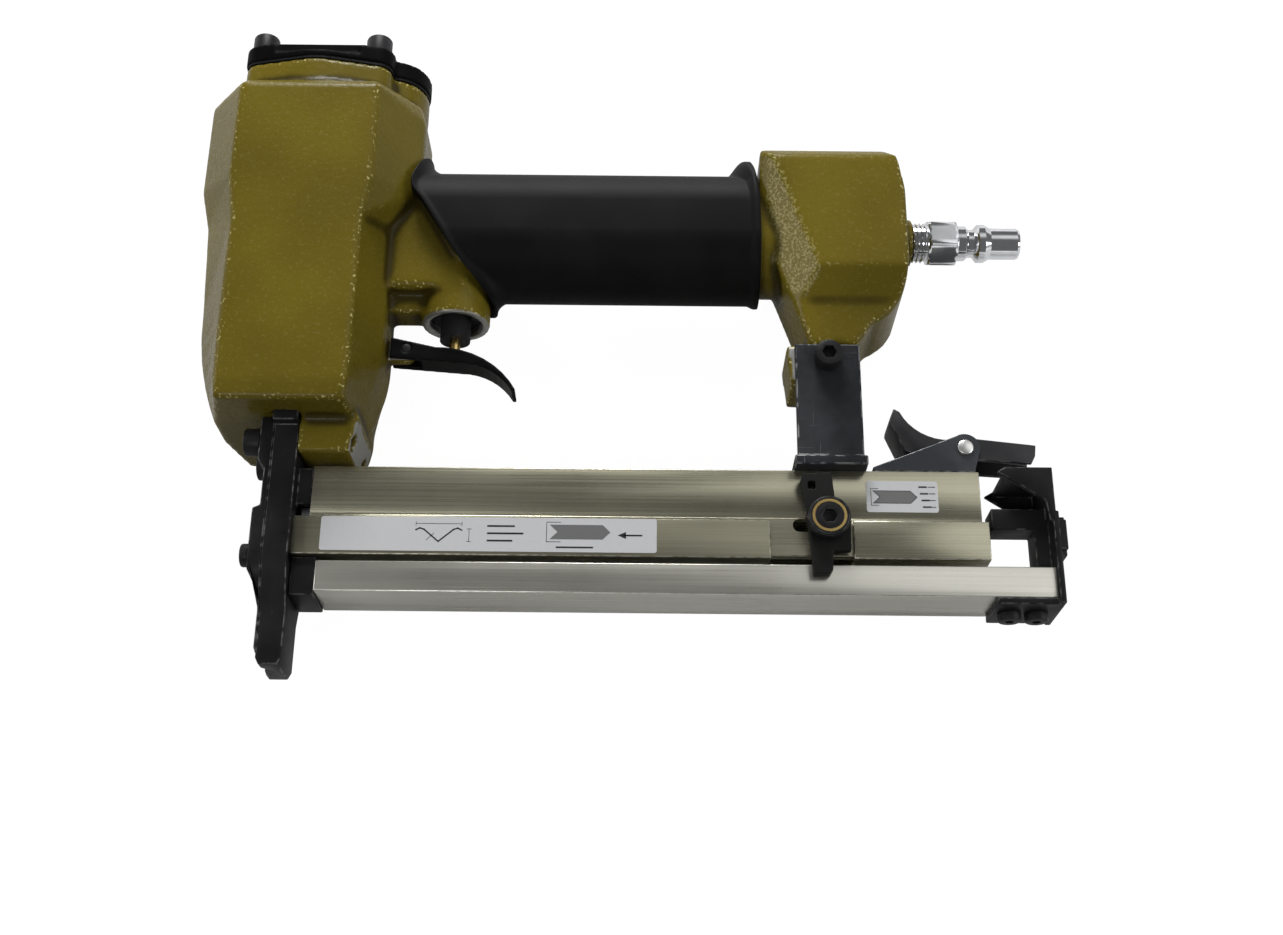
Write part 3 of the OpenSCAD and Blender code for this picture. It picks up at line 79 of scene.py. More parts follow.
@dataclass(frozen=True)
class ToolFrame:
    """Place of the tool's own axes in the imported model.

    Args:
        origin: point on the driver's axis at the foot line, in metres.
    """

    origin: Vector

    @classmethod
    def found(cls, nose_reach: float = 68.0) -> "ToolFrame":
        """Frame found from the piston's middle and the nose's tip, which lies nose_reach below the foot line."""
        low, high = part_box("piston")
        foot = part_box("nose_body")[0].y + nose_reach * MM
        return cls(Vector(((low.x + high.x) / 2, foot, (low.z + high.z) / 2)))

    def at(self, x: float, y: float, z: float = 0.0) -> Vector:
        """Row-frame point of a place given in millimetres of the tool."""
        return self.origin + Vector((x, y, z)) * MM

    def of(self, place: Vector) -> Vector:
        """Millimetres of the tool for a row-frame point."""
        return (place - self.origin) / MM


TOOL = ToolFrame.found()


def body_of(node: str) -> str:
    """Name of the body that a CAD node belongs to."""
    bodies = frame["record"]["behaviour"]["bodies"]
    return next(body for body, members in bodies.items() if node in members)


def slot_of(node: str) -> str:
    """Material slot that the record gives a CAD node."""
    return next(part["material_slot"] for part in frame["record"]["subparts"] if part["node"] == node)


# Node trees


class Nodes:
    """Node tree that is filled by one method.

    Args:
        tree: tree of a material, of the world or of a Geometry Nodes group.
    """

    def __init__(self, tree: bpy.types.NodeTree) -> None:
        """Keeps the tree."""
        self.tree = tree

    def node(self, kind: str, settings: Optional[dict[str, Any]] = None,
             inputs: Optional[dict[Union[str, int], Any]] = None) -> bpy.types.Node:
        """Adds a node.

        Args:
            kind: Blender's type name of the node.
            settings: properties of the node, set first.
            inputs: sockets by name or number, each with a value, a Value or an output to link.

        Returns:
            The new node.
        """
        made = self.tree.nodes.new(kind)
        for name, setting in (settings or {}).items():
            setattr(made, name, setting)
        for name, given in (inputs or {}).items():
            self.feed(made.inputs[name], given)
        return made

    def feed(self, socket: bpy.types.NodeSocket, given: Any) -> None:
        """Links or sets one input.

        Args:
            socket: input to feed.
            given: a Value, an output socket or a plain value.
        """
        source = given.socket if isinstance(given, Value) else given
        if isinstance(source, bpy.types.NodeSocket):
            self.tree.links.new(source, socket)
        elif isinstance(source, tuple) and socket.type == "RGBA":
            socket.default_value = (*source, 1.0)
        else:
            socket.default_value = source


class Value:
    """Number in a node tree, on which Python's operators add Math nodes.

    Args:
        nodes: tree that the number belongs to.
        socket: output that gives it.
    """

    def __init__(self, nodes: Nodes, socket: bpy.types.NodeSocket) -> None:
        """Wraps a socket."""
        self.nodes = nodes
        self.socket = socket

    def maths(self, operation: str, first: Any, second: Any = 0.0, clamp: bool = False) -> "Value":
        """Adds a Math node.

        Args:
            operation: Blender's name of the operation.
            first: first operand.
            second: second operand.
            clamp: whether the result is kept between 0 and 1.

        Returns:
            The result.
        """
        settings = {"operation": operation, "use_clamp": clamp}
        return Value(self.nodes, self.nodes.node("ShaderNodeMath", settings, {0: first, 1: second}).outputs[0])

    def __add__(self, other: Any) -> "Value":
        """Sum."""
        return self.maths("ADD", self, other)

    __radd__ = __add__

    def __mul__(self, other: Any) -> "Value":
        """Product."""
        return self.maths("MULTIPLY", self, other)

    __rmul__ = __mul__

    def __sub__(self, other: Any) -> "Value":
        """Difference."""
        return self.maths("SUBTRACT", self, other)

    def __rsub__(self, other: Any) -> "Value":
        """Difference from a plain number."""
        return self.maths("SUBTRACT", other, self)

    def __truediv__(self, other: Any) -> "Value":
        """Quotient."""
        return self.maths("DIVIDE", self, other)

    def clamped(self) -> "Value":
        """The number kept between 0 and 1."""
        return self.maths("ADD", self, 0.0, clamp=True)

    def rise(self, low: float, high: float) -> "Value":
        """Smooth step from 0 at low to 1 at high."""
        settings = {"interpolation_type": "SMOOTHSTEP"}
        inputs = {"Value": self, "From Min": low, "From Max": high}
        return Value(self.nodes, self.nodes.node("ShaderNodeMapRange", settings, inputs).outputs[0])


class Shader(Nodes):
    """Material with one Principled shader that reads Object coordinates.

    Args:
        name: name of the material.
    """

    def __init__(self, name: str) -> None:
        """Makes the material with its shader, output and coordinates."""
        self.material = bpy.data.materials.new(name)
        self.material.use_nodes = True
        super().__init__(self.material.node_tree)
        self.tree.nodes.clear()
        self.surface = self.node("ShaderNodeBsdfPrincipled")
        self.output = self.node("ShaderNodeOutputMaterial", {}, {"Surface": self.surface.outputs[0]})
        self.place = self.node("ShaderNodeTexCoord").outputs["Object"]

    def stretched(self, scale: Sequence[float], turn: Sequence[float] = (0.0, 0.0, 0.0)) -> bpy.types.NodeSocket:
        """Object coordinates turned and scaled along each axis."""
        inputs = {"Vector": self.place, "Scale": tuple(scale), "Rotation": tuple(turn)}
        return self.node("ShaderNodeMapping", {"vector_type": "POINT"}, inputs).outputs[0]

    def noise(self, scale: float, detail: float = 3.0, vector: Optional[bpy.types.NodeSocket] = None) -> Value:
        """Noise from 0 to 1.

        Args:
            scale: waves in a metre of the vector.
            detail: octaves of finer noise.
            vector: coordinates, or none for plain Object coordinates.

        Returns:
            The noise's number.
        """
        inputs = {"Vector": vector or self.place, "Scale": scale, "Detail": detail}
        return Value(self, self.node("ShaderNodeTexNoise", {}, inputs).outputs["Fac"])

    def attribute(self, name: str) -> Value:
        """Number that the mesh holds under a name, or 0 where it has none."""
        return Value(self, self.node("ShaderNodeAttribute", {"attribute_name": name}).outputs["Fac"])

    def blend(self, factor: Any, first: Any, second: Any) -> bpy.types.NodeSocket:
        """Colour between two colours.

        Args:
            factor: share of the second colour.
            first: colour at 0.
            second: colour at 1.

        Returns:
            The mixed colour's socket.
        """
        mix = self.node("ShaderNodeMix", {"data_type": "RGBA"})
        for number, given in ((0, factor), (6, first), (7, second)):
            self.feed(mix.inputs[number], given)
        return mix.outputs[2]

    def dress(self, **sockets: Any) -> None:
        """Sets or links the Principled shader's sockets, whose names have underscores for spaces."""
        for name, given in sockets.items():
            self.feed(self.surface.inputs[name.replace("_", " ")], given)

    def bump(self, height: Value, distance: float, strength: float = 1.0) -> None:
        """Raises the surface by a height, in metres, through the shader's normal."""
        inputs = {"Height": height, "Distance": distance, "Strength": strength}
        self.dress(Normal=self.node("ShaderNodeBump", {}, inputs).outputs[0])


# Finishes


class Finish:
    """Finish that makes its material the first time that it is used."""

    name: str

    def material(self) -> bpy.types.Material:
        """The finish's one material."""
        return bpy.data.materials.get(self.name) or self.build()

    def build(self) -> bpy.types.Material:
        """Makes the material; each finish has its own way."""
        raise NotImplementedError


@dataclass(frozen=True)
class CastEnamel(Finish):
    """Satin enamel over a sand casting, with machined faces left bare."""

    name: str = "mustard_enamel_finish"
    colour: Colour = (0.165, 0.126, 0.012)
    shade: Colour = (0.125, 0.096, 0.010)
    # Painted highlight: the colour that glints along edges and on the tail's slanted facet turn towards.
    glint: Colour = (0.58, 0.52, 0.22)
    # Painted shade: the dark colour laid into creases.
    crease_shade_colour: Colour = (0.022, 0.017, 0.005)
    metal: Colour = (0.42, 0.42, 0.40)

    def build(self) -> bpy.types.Material:
        """Makes the enamel with orange peel, painted glints on its edges and on the tail's slanted facet, painted shade
        in the hollows and bare faces.
        """
        shader = Shader(self.name)
        cloud = shader.noise(22, 2)
        peel = shader.noise(520, 2)
        grit = shader.noise(1500, 3)
        edge = shader.attribute("edge")
        bare = shader.attribute("bare")
        # Painted highlights: flecks along convex edges and a grain of glints on the tail's slanted facet lighten the
        # colour.
        fleck = shader.noise(950, 1).rise(0.60, 0.70)
        grain = shader.noise(1300, 3).rise(0.46, 0.62) * shader.attribute("facet_glint") * 0.42
        glints = (fleck * (edge.rise(0.22, 0.75) * 0.85 + 0.06) + grain).clamped()
        paint = shader.blend(glints, shader.blend(cloud.rise(0.3, 0.7), self.colour, self.shade), self.glint)
        # Painted shade: the enamel darkens in concave creases, where shade falls.
        crease_shaded = shader.blend(shader.attribute("hollow").rise(0.08, 0.6) * 0.8, paint, self.crease_shade_colour)
        shader.dress(
            Base_Color=shader.blend(bare, crease_shaded, self.metal), Metallic=bare * 0.8,
            Roughness=peel * 0.14 + grit * 0.08 + 0.18 + bare * 0.14, Specular_IOR_Level=0.11,
            Coat_Weight=0.03, Coat_Roughness=0.12)
        shader.bump(peel * 0.75 + grit * 0.35, 0.00016, 0.8)
        return shader.material


@dataclass(frozen=True)
class WornBlack(Finish):
    """Dark coat or oxide on steel that is rubbed bright along its edges."""

    name: str
    colour: Colour
    haze: Colour
    metal: Colour = (0.30, 0.30, 0.30)
    roughness: float = 0.42
    gloss: float = 0.16
    wear: float = 0.5
    scratches: float = 0.0

    def build(self) -> bpy.types.Material:
        """Makes the coat with haze, scratches and worn edges."""
        shader = Shader(self.name)
        cloud = shader.noise(60, 4)
        grain = shader.noise(1800, 2)
        rub = shader.noise(330, 5).rise(0.44, 0.60)
        edge = shader.attribute("worn") * rub * self.wear
        long_lines = shader.noise(1, 2, shader.stretched((90, 1500, 700), (0.0, 0.0, 0.5)))
        cross_lines = shader.noise(1, 2, shader.stretched((1500, 110, 700), (0.0, 0.0, 0.3)))
        lines = long_lines.rise(0.66, 0.74) + cross_lines.rise(0.68, 0.76)
        marks = (edge + lines * cloud.rise(0.45, 0.75) * self.scratches).clamped()
        coat = shader.blend(cloud.rise(0.35, 0.7), self.colour, self.haze)
        shader.dress(
            Base_Color=shader.blend(marks, coat, self.metal), Metallic=marks * 0.7,
            Roughness=cloud * 0.14 + grain * 0.08 + (self.roughness - 0.1), Specular_IOR_Level=self.gloss)
        shader.bump(grain * 0.6 + cloud * 0.4, 0.00004, 0.7)
        return shader.material


@dataclass(frozen=True)
class MouldedRubber(Finish):
    """Matte black rubber with a fine moulded grain."""

    name: str
    colour: Colour
    dust: Colour
    roughness: float = 0.5

    def build(self) -> bpy.types.Material:
        """Makes the rubber with a grain and a dusty bloom."""
        shader = Shader(self.name)
        cloud = shader.noise(45, 4)
        grain = shader.noise(2200, 2)
        shader.dress(
            Base_Color=shader.blend(cloud.rise(0.35, 0.7), self.colour, self.dust),
            Roughness=cloud * 0.16 + grain * 0.08 + (self.roughness - 0.1), Specular_IOR_Level=0.08)
        shader.bump(grain * 0.5 + cloud * 0.5, 0.00003, 0.8)
        return shader.material


@dataclass(frozen=True)
class BrushedRail(Finish):
    """Anodised aluminium profile, brushed along its length."""

    name: str
    colour: Colour
    shade: Colour
    edge: Colour
    roughness: float

    def build(self) -> bpy.types.Material:
        """Makes the profile's fine lengthwise lines and rubbed edges."""
        shader = Shader(self.name)
        fine = shader.noise(1, 3, shader.stretched((14, 3600, 3600)))
        broad = shader.noise(1, 2, shader.stretched((4, 420, 420)))
        smear = shader.noise(35, 4)
        worn = shader.attribute("worn") * shader.noise(500, 4).rise(0.38, 0.58)
        tone = (fine * 0.55 + broad * 0.35 + smear * 0.25).rise(0.35, 0.8)
        shader.dress(
            Base_Color=shader.blend(worn * 0.7, shader.blend(tone, self.shade, self.colour), self.edge),
            Metallic=0.92, Roughness=fine * 0.16 + smear * 0.08 + (self.roughness - 0.12))
        shader.bump(fine * 0.7 + broad * 0.3, 0.00001, 0.8)
        return shader.material


@dataclass(frozen=True)
class BareMetal(Finish):
    """Plated, ground or turned metal without a coat."""

    name: str
    colour: Colour
    shade: Colour
    roughness: float

    def build(self) -> bpy.types.Material:
        """Makes the metal with faint clouds and turning marks."""
        shader = Shader(self.name)
        cloud = shader.noise(160, 4)
        marks = shader.noise(2600, 2)
        shader.dress(
            Base_Color=shader.blend(cloud.rise(0.35, 0.7), self.colour, self.shade), Metallic=1.0,
            Roughness=cloud * 0.12 + marks * 0.06 + (self.roughness - 0.08))
        shader.bump(marks, 0.000006, 0.6)
        return shader.material


@dataclass(frozen=True)
class Print(Finish):
    """Paper of a label or the ink on it."""

    name: str
    colour: Colour
    roughness: float = 0.45

    def build(self) -> bpy.types.Material:
        """Makes the paper or ink with a faint mottle."""
        shader = Shader(self.name)
        mottle = shader.noise(700, 4)
        faded = tuple(channel * 0.93 for channel in self.colour)
        shader.dress(Base_Color=shader.blend(mottle, self.colour, faded), Specular_IOR_Level=0.35,
                     Roughness=mottle * 0.12 + (self.roughness - 0.06))
        shader.bump(mottle, 0.000008, 0.6)
        return shader.material


ENAMEL = CastEnamel()
CAP_BLACK = WornBlack("cap_coat_finish", (0.003, 0.003, 0.0033), (0.0055, 0.0055, 0.0058), gloss=0.02, wear=0.08)
SCREW_BLACK = WornBlack("screw_oxide_finish", (0.010, 0.010, 0.011), (0.022, 0.022, 0.024), wear=0.2)
NOSE_BLACK = WornBlack("nose_oxide_finish", (0.007, 0.007, 0.0075), (0.016, 0.016, 0.017), wear=0.4, scratches=0.1)
PLATE_BLUE = WornBlack("blued_plate_finish", (0.015, 0.016, 0.018), (0.030, 0.031, 0.035), roughness=0.36, gloss=0.08,
                       wear=0.6, scratches=0.35)
BASE_BLUE = WornBlack("blued_base_finish", (0.026, 0.028, 0.034), (0.050, 0.053, 0.061), roughness=0.4, gloss=0.3,
                      wear=0.6, scratches=0.35)
LEVER_BLACK = WornBlack("lever_finish", (0.016, 0.016, 0.018), (0.036, 0.036, 0.039), gloss=0.3, wear=0.3,
                        scratches=0.22)
TRIGGER_BLACK = WornBlack("trigger_coat_finish", (0.003, 0.003, 0.0033), (0.006, 0.006, 0.0065), roughness=0.36,
                          gloss=0.06, wear=0.1)
CLIP_BLACK = WornBlack("clip_coat_finish", (0.006, 0.006, 0.0056), (0.011, 0.0105, 0.010), roughness=0.5, wear=0.15)
BLOCK_BLACK = WornBlack("block_coat_finish", (0.007, 0.007, 0.0075), (0.014, 0.014, 0.015), wear=0.25)
GRIP_RUBBER = MouldedRubber("grip_rubber_finish", (0.0050, 0.0050, 0.0054), (0.0085, 0.0085, 0.0088))
SEAL_RUBBER = MouldedRubber("seal_rubber_finish", (0.012, 0.012, 0.012), (0.02, 0.02, 0.02))
RAIL = BrushedRail("olive_rail_finish", (0.50, 0.48, 0.36), (0.36, 0.345, 0.255), (0.72, 0.71, 0.62), 0.28)
# Painted shade: a darker copy of the rail's finish, for the front strip.
SHADED_STRIP = BrushedRail("olive_strip_shaded_finish", (0.31, 0.295, 0.215), (0.22, 0.21, 0.155), (0.60, 0.59, 0.50), 0.36)
DRAWER = BrushedRail("silver_rail_finish", (0.70, 0.69, 0.62), (0.55, 0.54, 0.48), (0.80, 0.79, 0.74), 0.30)
CHROME = BareMetal("chrome_finish", (0.80, 0.81, 0.83), (0.72, 0.73, 0.75), 0.12)
ZINC = BareMetal("zinc_finish", (0.86, 0.86, 0.84), (0.74, 0.74, 0.72), 0.34)
STEEL = BareMetal("steel_finish", (0.52, 0.53, 0.55), (0.42, 0.43, 0.45), 0.28)
TURNED = BareMetal("turned_aluminium_finish", (0.66, 0.67, 0.68), (0.58, 0.59, 0.60), 0.3)
BRASS = BareMetal("brass_finish", (0.72, 0.52, 0.20), (0.60, 0.42, 0.15), 0.26)
PLASTIC = MouldedRubber("inner_plastic_finish", (0.02, 0.02, 0.022), (0.03, 0.03, 0.032), 0.4)
PAPER = Print("label_paper_finish", (0.58, 0.585, 0.595))
INK = Print("label_ink_finish", (0.02, 0.02, 0.024), 0.4)
GREY_INK = Print("label_grey_finish", (0.16, 0.16, 0.16), 0.4)


# Meshes


def cad_copy(node: str) -> bmesh.types.BMesh:
    """Copy of a CAD node's mesh with its loose triangles merged."""
    copy = bmesh.new()
    copy.from_mesh(frame["nodes"][node].data)
    bmesh.ops.remove_doubles(copy, verts=copy.verts, dist=WELD * MM)
    return copy


def to_mesh(shape: bmesh.types.BMesh, name: str, smooth_angle: float = 32.0) -> bpy.types.Mesh:
    """Turns a bmesh into a mesh with soft shading up to an angle.

    Args:
        shape: bmesh, which is freed.
        name: name of the mesh.
        smooth_angle: angle in degrees above which an edge stays sharp.

    Returns:
        The mesh.
    """
    mesh = bpy.data.meshes.new(name)
    shape.to_mesh(mesh)
    shape.free()
    return shaded(mesh, smooth_angle)


def shaded(mesh: bpy.types.Mesh, smooth_angle: float = 32.0) -> bpy.types.Mesh:
    """Shades a mesh softly up to an angle in degrees."""
    mesh.shade_smooth()
    mesh.set_sharp_from_angle(angle=math.radians(smooth_angle))
    return mesh


def islands(shape: bmesh.types.BMesh) -> list[list[bmesh.types.BMVert]]:
    """Groups of vertices that hang together, the largest first."""
    seen: set[bmesh.types.BMVert] = set()
    groups = []
    for start in shape.verts:
        if start in seen:
            continue
        seen.add(start)
        group, front = [start], [start]
        while front:
            vert = front.pop()
            for edge in vert.link_edges:
                other = edge.other_vert(vert)
                if other not in seen:
                    seen.add(other)
                    group.append(other)
                    front.append(other)
        groups.append(group)
    return sorted(groups, key=len, reverse=True)


def solid_boxes(node: str) -> list[tuple[Vector, Vector]]:
    """Lowest and highest corner of each solid in a CAD node."""
    shape = cad_copy(node)
    boxes = []
    for group in islands(shape):
        spots = [vert.co for vert in group]
        low = Vector(min(spot[axis] for spot in spots) for axis in range(3))
        high = Vector(max(spot[axis] for spot in spots) for axis in range(3))
        boxes.append((low, high))
    shape.free()
    return boxes


def baked(holder: bpy.types.Object) -> bpy.types.Mesh:
    """Plain mesh that an object's modifiers give; the object itself is removed."""
    bpy.context.scene.collection.objects.link(holder)
    bpy.context.view_layer.update()
    graph = bpy.context.evaluated_depsgraph_get()
    made = bpy.data.meshes.new_from_object(holder.evaluated_get(graph))
    holder.modifiers.clear()
    bpy.data.objects.remove(holder)
    return made


def modified(mesh: bpy.types.Mesh, steps: Sequence[tuple[str, dict[str, Any]]]) -> bpy.types.Mesh:
    """Runs modifiers on a mesh.

    Args:
        mesh: mesh to start from.
        steps: type and settings of each modifier, in order.

    Returns:
        A new plain mesh.
    """
    holder = bpy.data.objects.new("holder", mesh)
    for kind, settings in steps:
        modifier = holder.modifiers.new(kind.lower(), kind)
        for name, setting in settings.items():
            setattr(modifier, name, setting)
    return baked(holder)


def softened(node: str, width: float, segments: int = 2, least_angle: float = 30.0,
             after: Optional[Callable[[bmesh.types.BMesh], None]] = None) -> bpy.types.Mesh:
    """Copy of a CAD node whose long sharp edges are rounded and marked as worn.

    Args:
        node: CAD node to copy.
        width: width of the rounding in millimetres.
        segments: faces across each rounding.
        least_angle: angle in degrees from which an edge counts as sharp.
        after: change to make to the rounded copy.

    Returns:
        The rounded mesh.
    """
    shape = cad_copy(node)
    bmesh.ops.dissolve_limit(shape, angle_limit=math.radians(FLAT_ANGLE), verts=shape.verts, edges=shape.edges)
    worn = shape.faces.layers.float.new("worn")
    sharp = [edge for edge in shape.edges
             if len(edge.link_faces) == 2 and edge.calc_face_angle(0.0) > math.radians(least_angle)
             and edge.calc_length() > 2.2 * width * MM]
    rounded = bmesh.ops.bevel(shape, geom=sharp, offset=width * MM, offset_type="OFFSET", segments=segments,
                              profile=0.5, affect="EDGES", clamp_overlap=False)
    for face in rounded["faces"]:
        face[worn] = 1.0
    if after:
        after(shape)
    return to_mesh(shape, node)


def smoothed(node: str, voxel: float, passes: int, plugs: Sequence[Callable[[bmesh.types.BMesh], None]] = (),
             keep: float = 1.0) -> bpy.types.Mesh:
    """Copy of a CAD node remeshed and smoothed, as a casting or a moulding is.

    Args:
        node: CAD node to copy.
        voxel: size of the remesh in millimetres.
        passes: smoothing passes; more give rounder edges.
        plugs: functions that add closing solids before the remesh.
        keep: share of the faces that is kept at the end.

    Returns:
        The outer skin as a smooth mesh.
    """
    shape = cad_copy(node)
    for plug in plugs:
        plug(shape)
    start = to_mesh(shape, node)
    steps = [("REMESH", {"mode": "VOXEL", "voxel_size": voxel * MM}), ("SMOOTH", {"factor": 0.5, "iterations": passes})]
    if keep < 1.0:
        steps.append(("DECIMATE", {"ratio": keep}))
    skin = bmesh.new()
    skin.from_mesh(modified(start, steps))
    inner = [vert for group in islands(skin)[1:] for vert in group]
    bmesh.ops.delete(skin, geom=inner, context="VERTS")
    return to_mesh(skin, node, 60.0)


def rod_between(start: Vector, end: Vector, radius: float) -> Callable[[bmesh.types.BMesh], None]:
    """Function that adds a closed round rod to a bmesh.

    Args:
        start: one end's middle, in metres.
        end: other end's middle, in metres.
        radius: radius in millimetres.

    Returns:
        The function.
    """
    def add(shape: bmesh.types.BMesh) -> None:
        """Adds the rod."""
        line = end - start
        turn = line.to_track_quat("Z", "Y").to_matrix().to_4x4()
        bmesh.ops.create_cone(shape, cap_ends=True, segments=40, radius1=radius * MM, radius2=radius * MM,
                              depth=line.length, matrix=Matrix.Translation((start + end) / 2) @ turn)
    return add


def join_rings(shape: bmesh.types.BMesh, rings: Sequence[Sequence[bmesh.types.BMVert]], closed: bool) -> None:
    """Joins rings of vertices, each with as many, into one skin that faces outwards.

    Args:
        shape: bmesh that holds the vertices.
        rings: the rings in order.
        closed: whether the last ring joins the first; otherwise both get a cap.
    """
    for first, second in zip(rings, [*rings[1:], *rings[:1]] if closed else rings[1:]):
        for i in range(len(first)):
            j = (i + 1) % len(first)
            shape.faces.new((first[i], first[j], second[j], second[i]))
    if not closed:
        shape.faces.new(rings[0])
        shape.faces.new(rings[-1])
    bmesh.ops.recalc_face_normals(shape, faces=shape.faces)


def mark_points(mesh: bpy.types.Mesh, name: str, amount: Callable[[Vector, Vector], float]) -> None:
    """Stores a number at each point of a mesh.

    Args:
        mesh: mesh to mark.
        name: name of the attribute.
        amount: function of a point's place and normal that gives the number.
    """
    layer = mesh.attributes.new(name, "FLOAT", "POINT")
    layer.data.foreach_set("value", [amount(vert.co, vert.normal) for vert in mesh.vertices])


def mark_bends(mesh: bpy.types.Mesh, name: str, gain: float, passes: int = 2) -> None:
    """Stores how bent a mesh is at each point, from 0 on flats to 1 on sharp bends.

    Args:
        mesh: mesh to mark.
        name: name of the attribute.
        gain: factor on the bend, above 0 to mark edges and below 0 to mark hollows.
        passes: rounds of averaging with the neighbours.
    """
    shape = bmesh.new()
    shape.from_mesh(mesh)
    shape.verts.ensure_lookup_table()
    near = [[edge.other_vert(vert).index for edge in vert.link_edges] for vert in shape.verts]
    level = []
    for vert in shape.verts:
        slopes = [(shape.verts[i].co - vert.co).normalized().dot(vert.normal) for i in near[vert.index]]
        level.append(max(0.0, min(1.0, -gain * sum(slopes) / max(1, len(slopes)))))
    for _ in range(passes):
        level = [(level[i] + sum(level[j] for j in near[i])) / (1 + len(near[i])) for i in range(len(level))]
    shape.free()
    mesh.attributes.new(name, "FLOAT", "POINT").data.foreach_set("value", level)


def add_piece(name: str, mesh: bpy.types.Mesh, finishes: Sequence[Finish], node: str,
              replaces: bool = True) -> bpy.types.Object:
    """Puts a finished mesh into the scene.

    Args:
        name: name of the piece.
        mesh: mesh in the row frame.
        finishes: finish of each material number.
        node: CAD node whose body the piece takes.
        replaces: whether the piece stands for that node.

    Returns:
        The piece's object.
    """
    piece = bpy.data.objects.new(name, mesh)
    bpy.context.scene.collection.objects.link(piece)
    if mesh.materials:  # Clearing also sets the faces' material numbers to 0, which a label still needs.
        mesh.materials.clear()
    for finish in finishes:
        mesh.materials.append(finish.material())
    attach(piece, body_of(node))
    slot_of(node)
    if replaces:
        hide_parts(node)
    LOG.info("%s: %d faces, rides on %s", name, len(mesh.polygons), body_of(node))
    return piece


def dress_nodes(finish: Finish, *names: str) -> None:
    """Gives CAD nodes whose shape is right a finish."""
    for name in names:
        node = frame["nodes"][name]
        node.data.materials.clear()
        node.data.materials.append(finish.material())
        LOG.info("%s: CAD solid in %s", name, finish.name)


# Geometry Nodes


class GeometryTree(Nodes):
    """Geometry Nodes tree with named sizes.

    Args:
        name: name of the tree.
    """

    def __init__(self, name: str) -> None:
        """Makes the tree with a geometry input, an output and a material input."""
        super().__init__(bpy.data.node_groups.new(name, "GeometryNodeTree"))
        face = self.tree.interface
        face.new_socket("Geometry", in_out="OUTPUT", socket_type="NodeSocketGeometry")
        face.new_socket("Places", in_out="INPUT", socket_type="NodeSocketGeometry")
        self.keys: dict[str, str] = {}
        self.start = self.node("NodeGroupInput")
        self.finish_material = self.size("Material", "NodeSocketMaterial")

    def size(self, name: str, kind: str = "NodeSocketFloat") -> bpy.types.NodeSocket:
        """Adds a named input and returns its socket inside the tree."""
        self.keys[name] = self.tree.interface.new_socket(name, in_out="INPUT", socket_type=kind).identifier
        return self.start.outputs[name]

    def sizes(self, *names: str) -> list[Value]:
        """Adds several named numbers."""
        return [Value(self, self.size(name)) for name in names]

    def choose(self, items: Sequence[Any]) -> bpy.types.NodeSocket:
        """Number that a point takes from a list by its own index."""
        switch = self.node("GeometryNodeIndexSwitch", {"data_type": "FLOAT"})
        while len(switch.index_switch_items) < len(items):
            switch.index_switch_items.new()
        self.feed(switch.inputs["Index"], self.node("GeometryNodeInputIndex").outputs[0])
        for number, item in enumerate(items):
            self.feed(switch.inputs[number + 1], item)
        return switch.outputs[0]

    def lathe(self, heights: Sequence[Any], radii: Sequence[Any], sides: int) -> bpy.types.NodeSocket:
        """Turned solid along z.

        Args:
            heights: place of each station.
            radii: radius at each station.
            sides: sides of the round.

        Returns:
            The solid's mesh socket.
        """
        line = self.node("GeometryNodeMeshLine", {}, {"Count": len(heights)}).outputs[0]
        spot = self.node("ShaderNodeCombineXYZ", {}, {"Z": self.choose(heights)}).outputs[0]
        placed = self.node("GeometryNodeSetPosition", {}, {"Geometry": line, "Position": spot}).outputs[0]
        curve = self.node("GeometryNodeMeshToCurve", {}, {"Mesh": placed}).outputs[0]
        ring = self.node("GeometryNodeCurvePrimitiveCircle", {}, {"Resolution": sides, "Radius": 1.0}).outputs[0]
        inputs = {"Curve": curve, "Profile Curve": ring, "Scale": self.choose(radii), "Fill Caps": True}
        return self.node("GeometryNodeCurveToMesh", {}, inputs).outputs[0]

    def spread(self, solid: bpy.types.NodeSocket) -> None:
        """Sets a solid on each given place, turned by the input Turn, and ends the tree with its material."""
        turn = self.node("FunctionNodeEulerToRotation", {}, {0: self.size("Turn", "NodeSocketVector")}).outputs[0]
        inputs = {"Points": self.start.outputs["Places"], "Instance": solid, "Rotation": turn}
        copies = self.node("GeometryNodeInstanceOnPoints", {}, inputs).outputs[0]
        whole = self.node("GeometryNodeRealizeInstances", {}, {"Geometry": copies}).outputs[0]
        inputs = {"Geometry": whole, "Material": self.finish_material}
        dressed = self.node("GeometryNodeSetMaterial", {}, inputs).outputs[0]
        self.node("NodeGroupOutput", {}, {"Geometry": dressed})

    def run(self, places: Sequence[Vector], **values: Any) -> bpy.types.Mesh:
        """Runs the tree.

        Args:
            places: points that the tree's input geometry holds.
            values: the tree's inputs by name, with underscores for spaces.

        Returns:
            The result as a plain mesh with its faces pointing outwards.
        """
        seeds = bpy.data.meshes.new("seeds")
        seeds.from_pydata([tuple(place) for place in places], [], [])
        holder = bpy.data.objects.new("holder", seeds)
        modifier = holder.modifiers.new("nodes", "NODES")
        modifier.node_group = self.tree
        for name, value in values.items():
            modifier[self.keys[name.replace("_", " ")]] = value
        made = baked(holder)
        shape = bmesh.new()
        shape.from_mesh(made)
        bmesh.ops.remove_doubles(shape, verts=shape.verts, dist=FINE_WELD * MM)
        bmesh.ops.recalc_face_normals(shape, faces=shape.faces)
        shape.to_mesh(made)
        shape.free()
        return shaded(made)


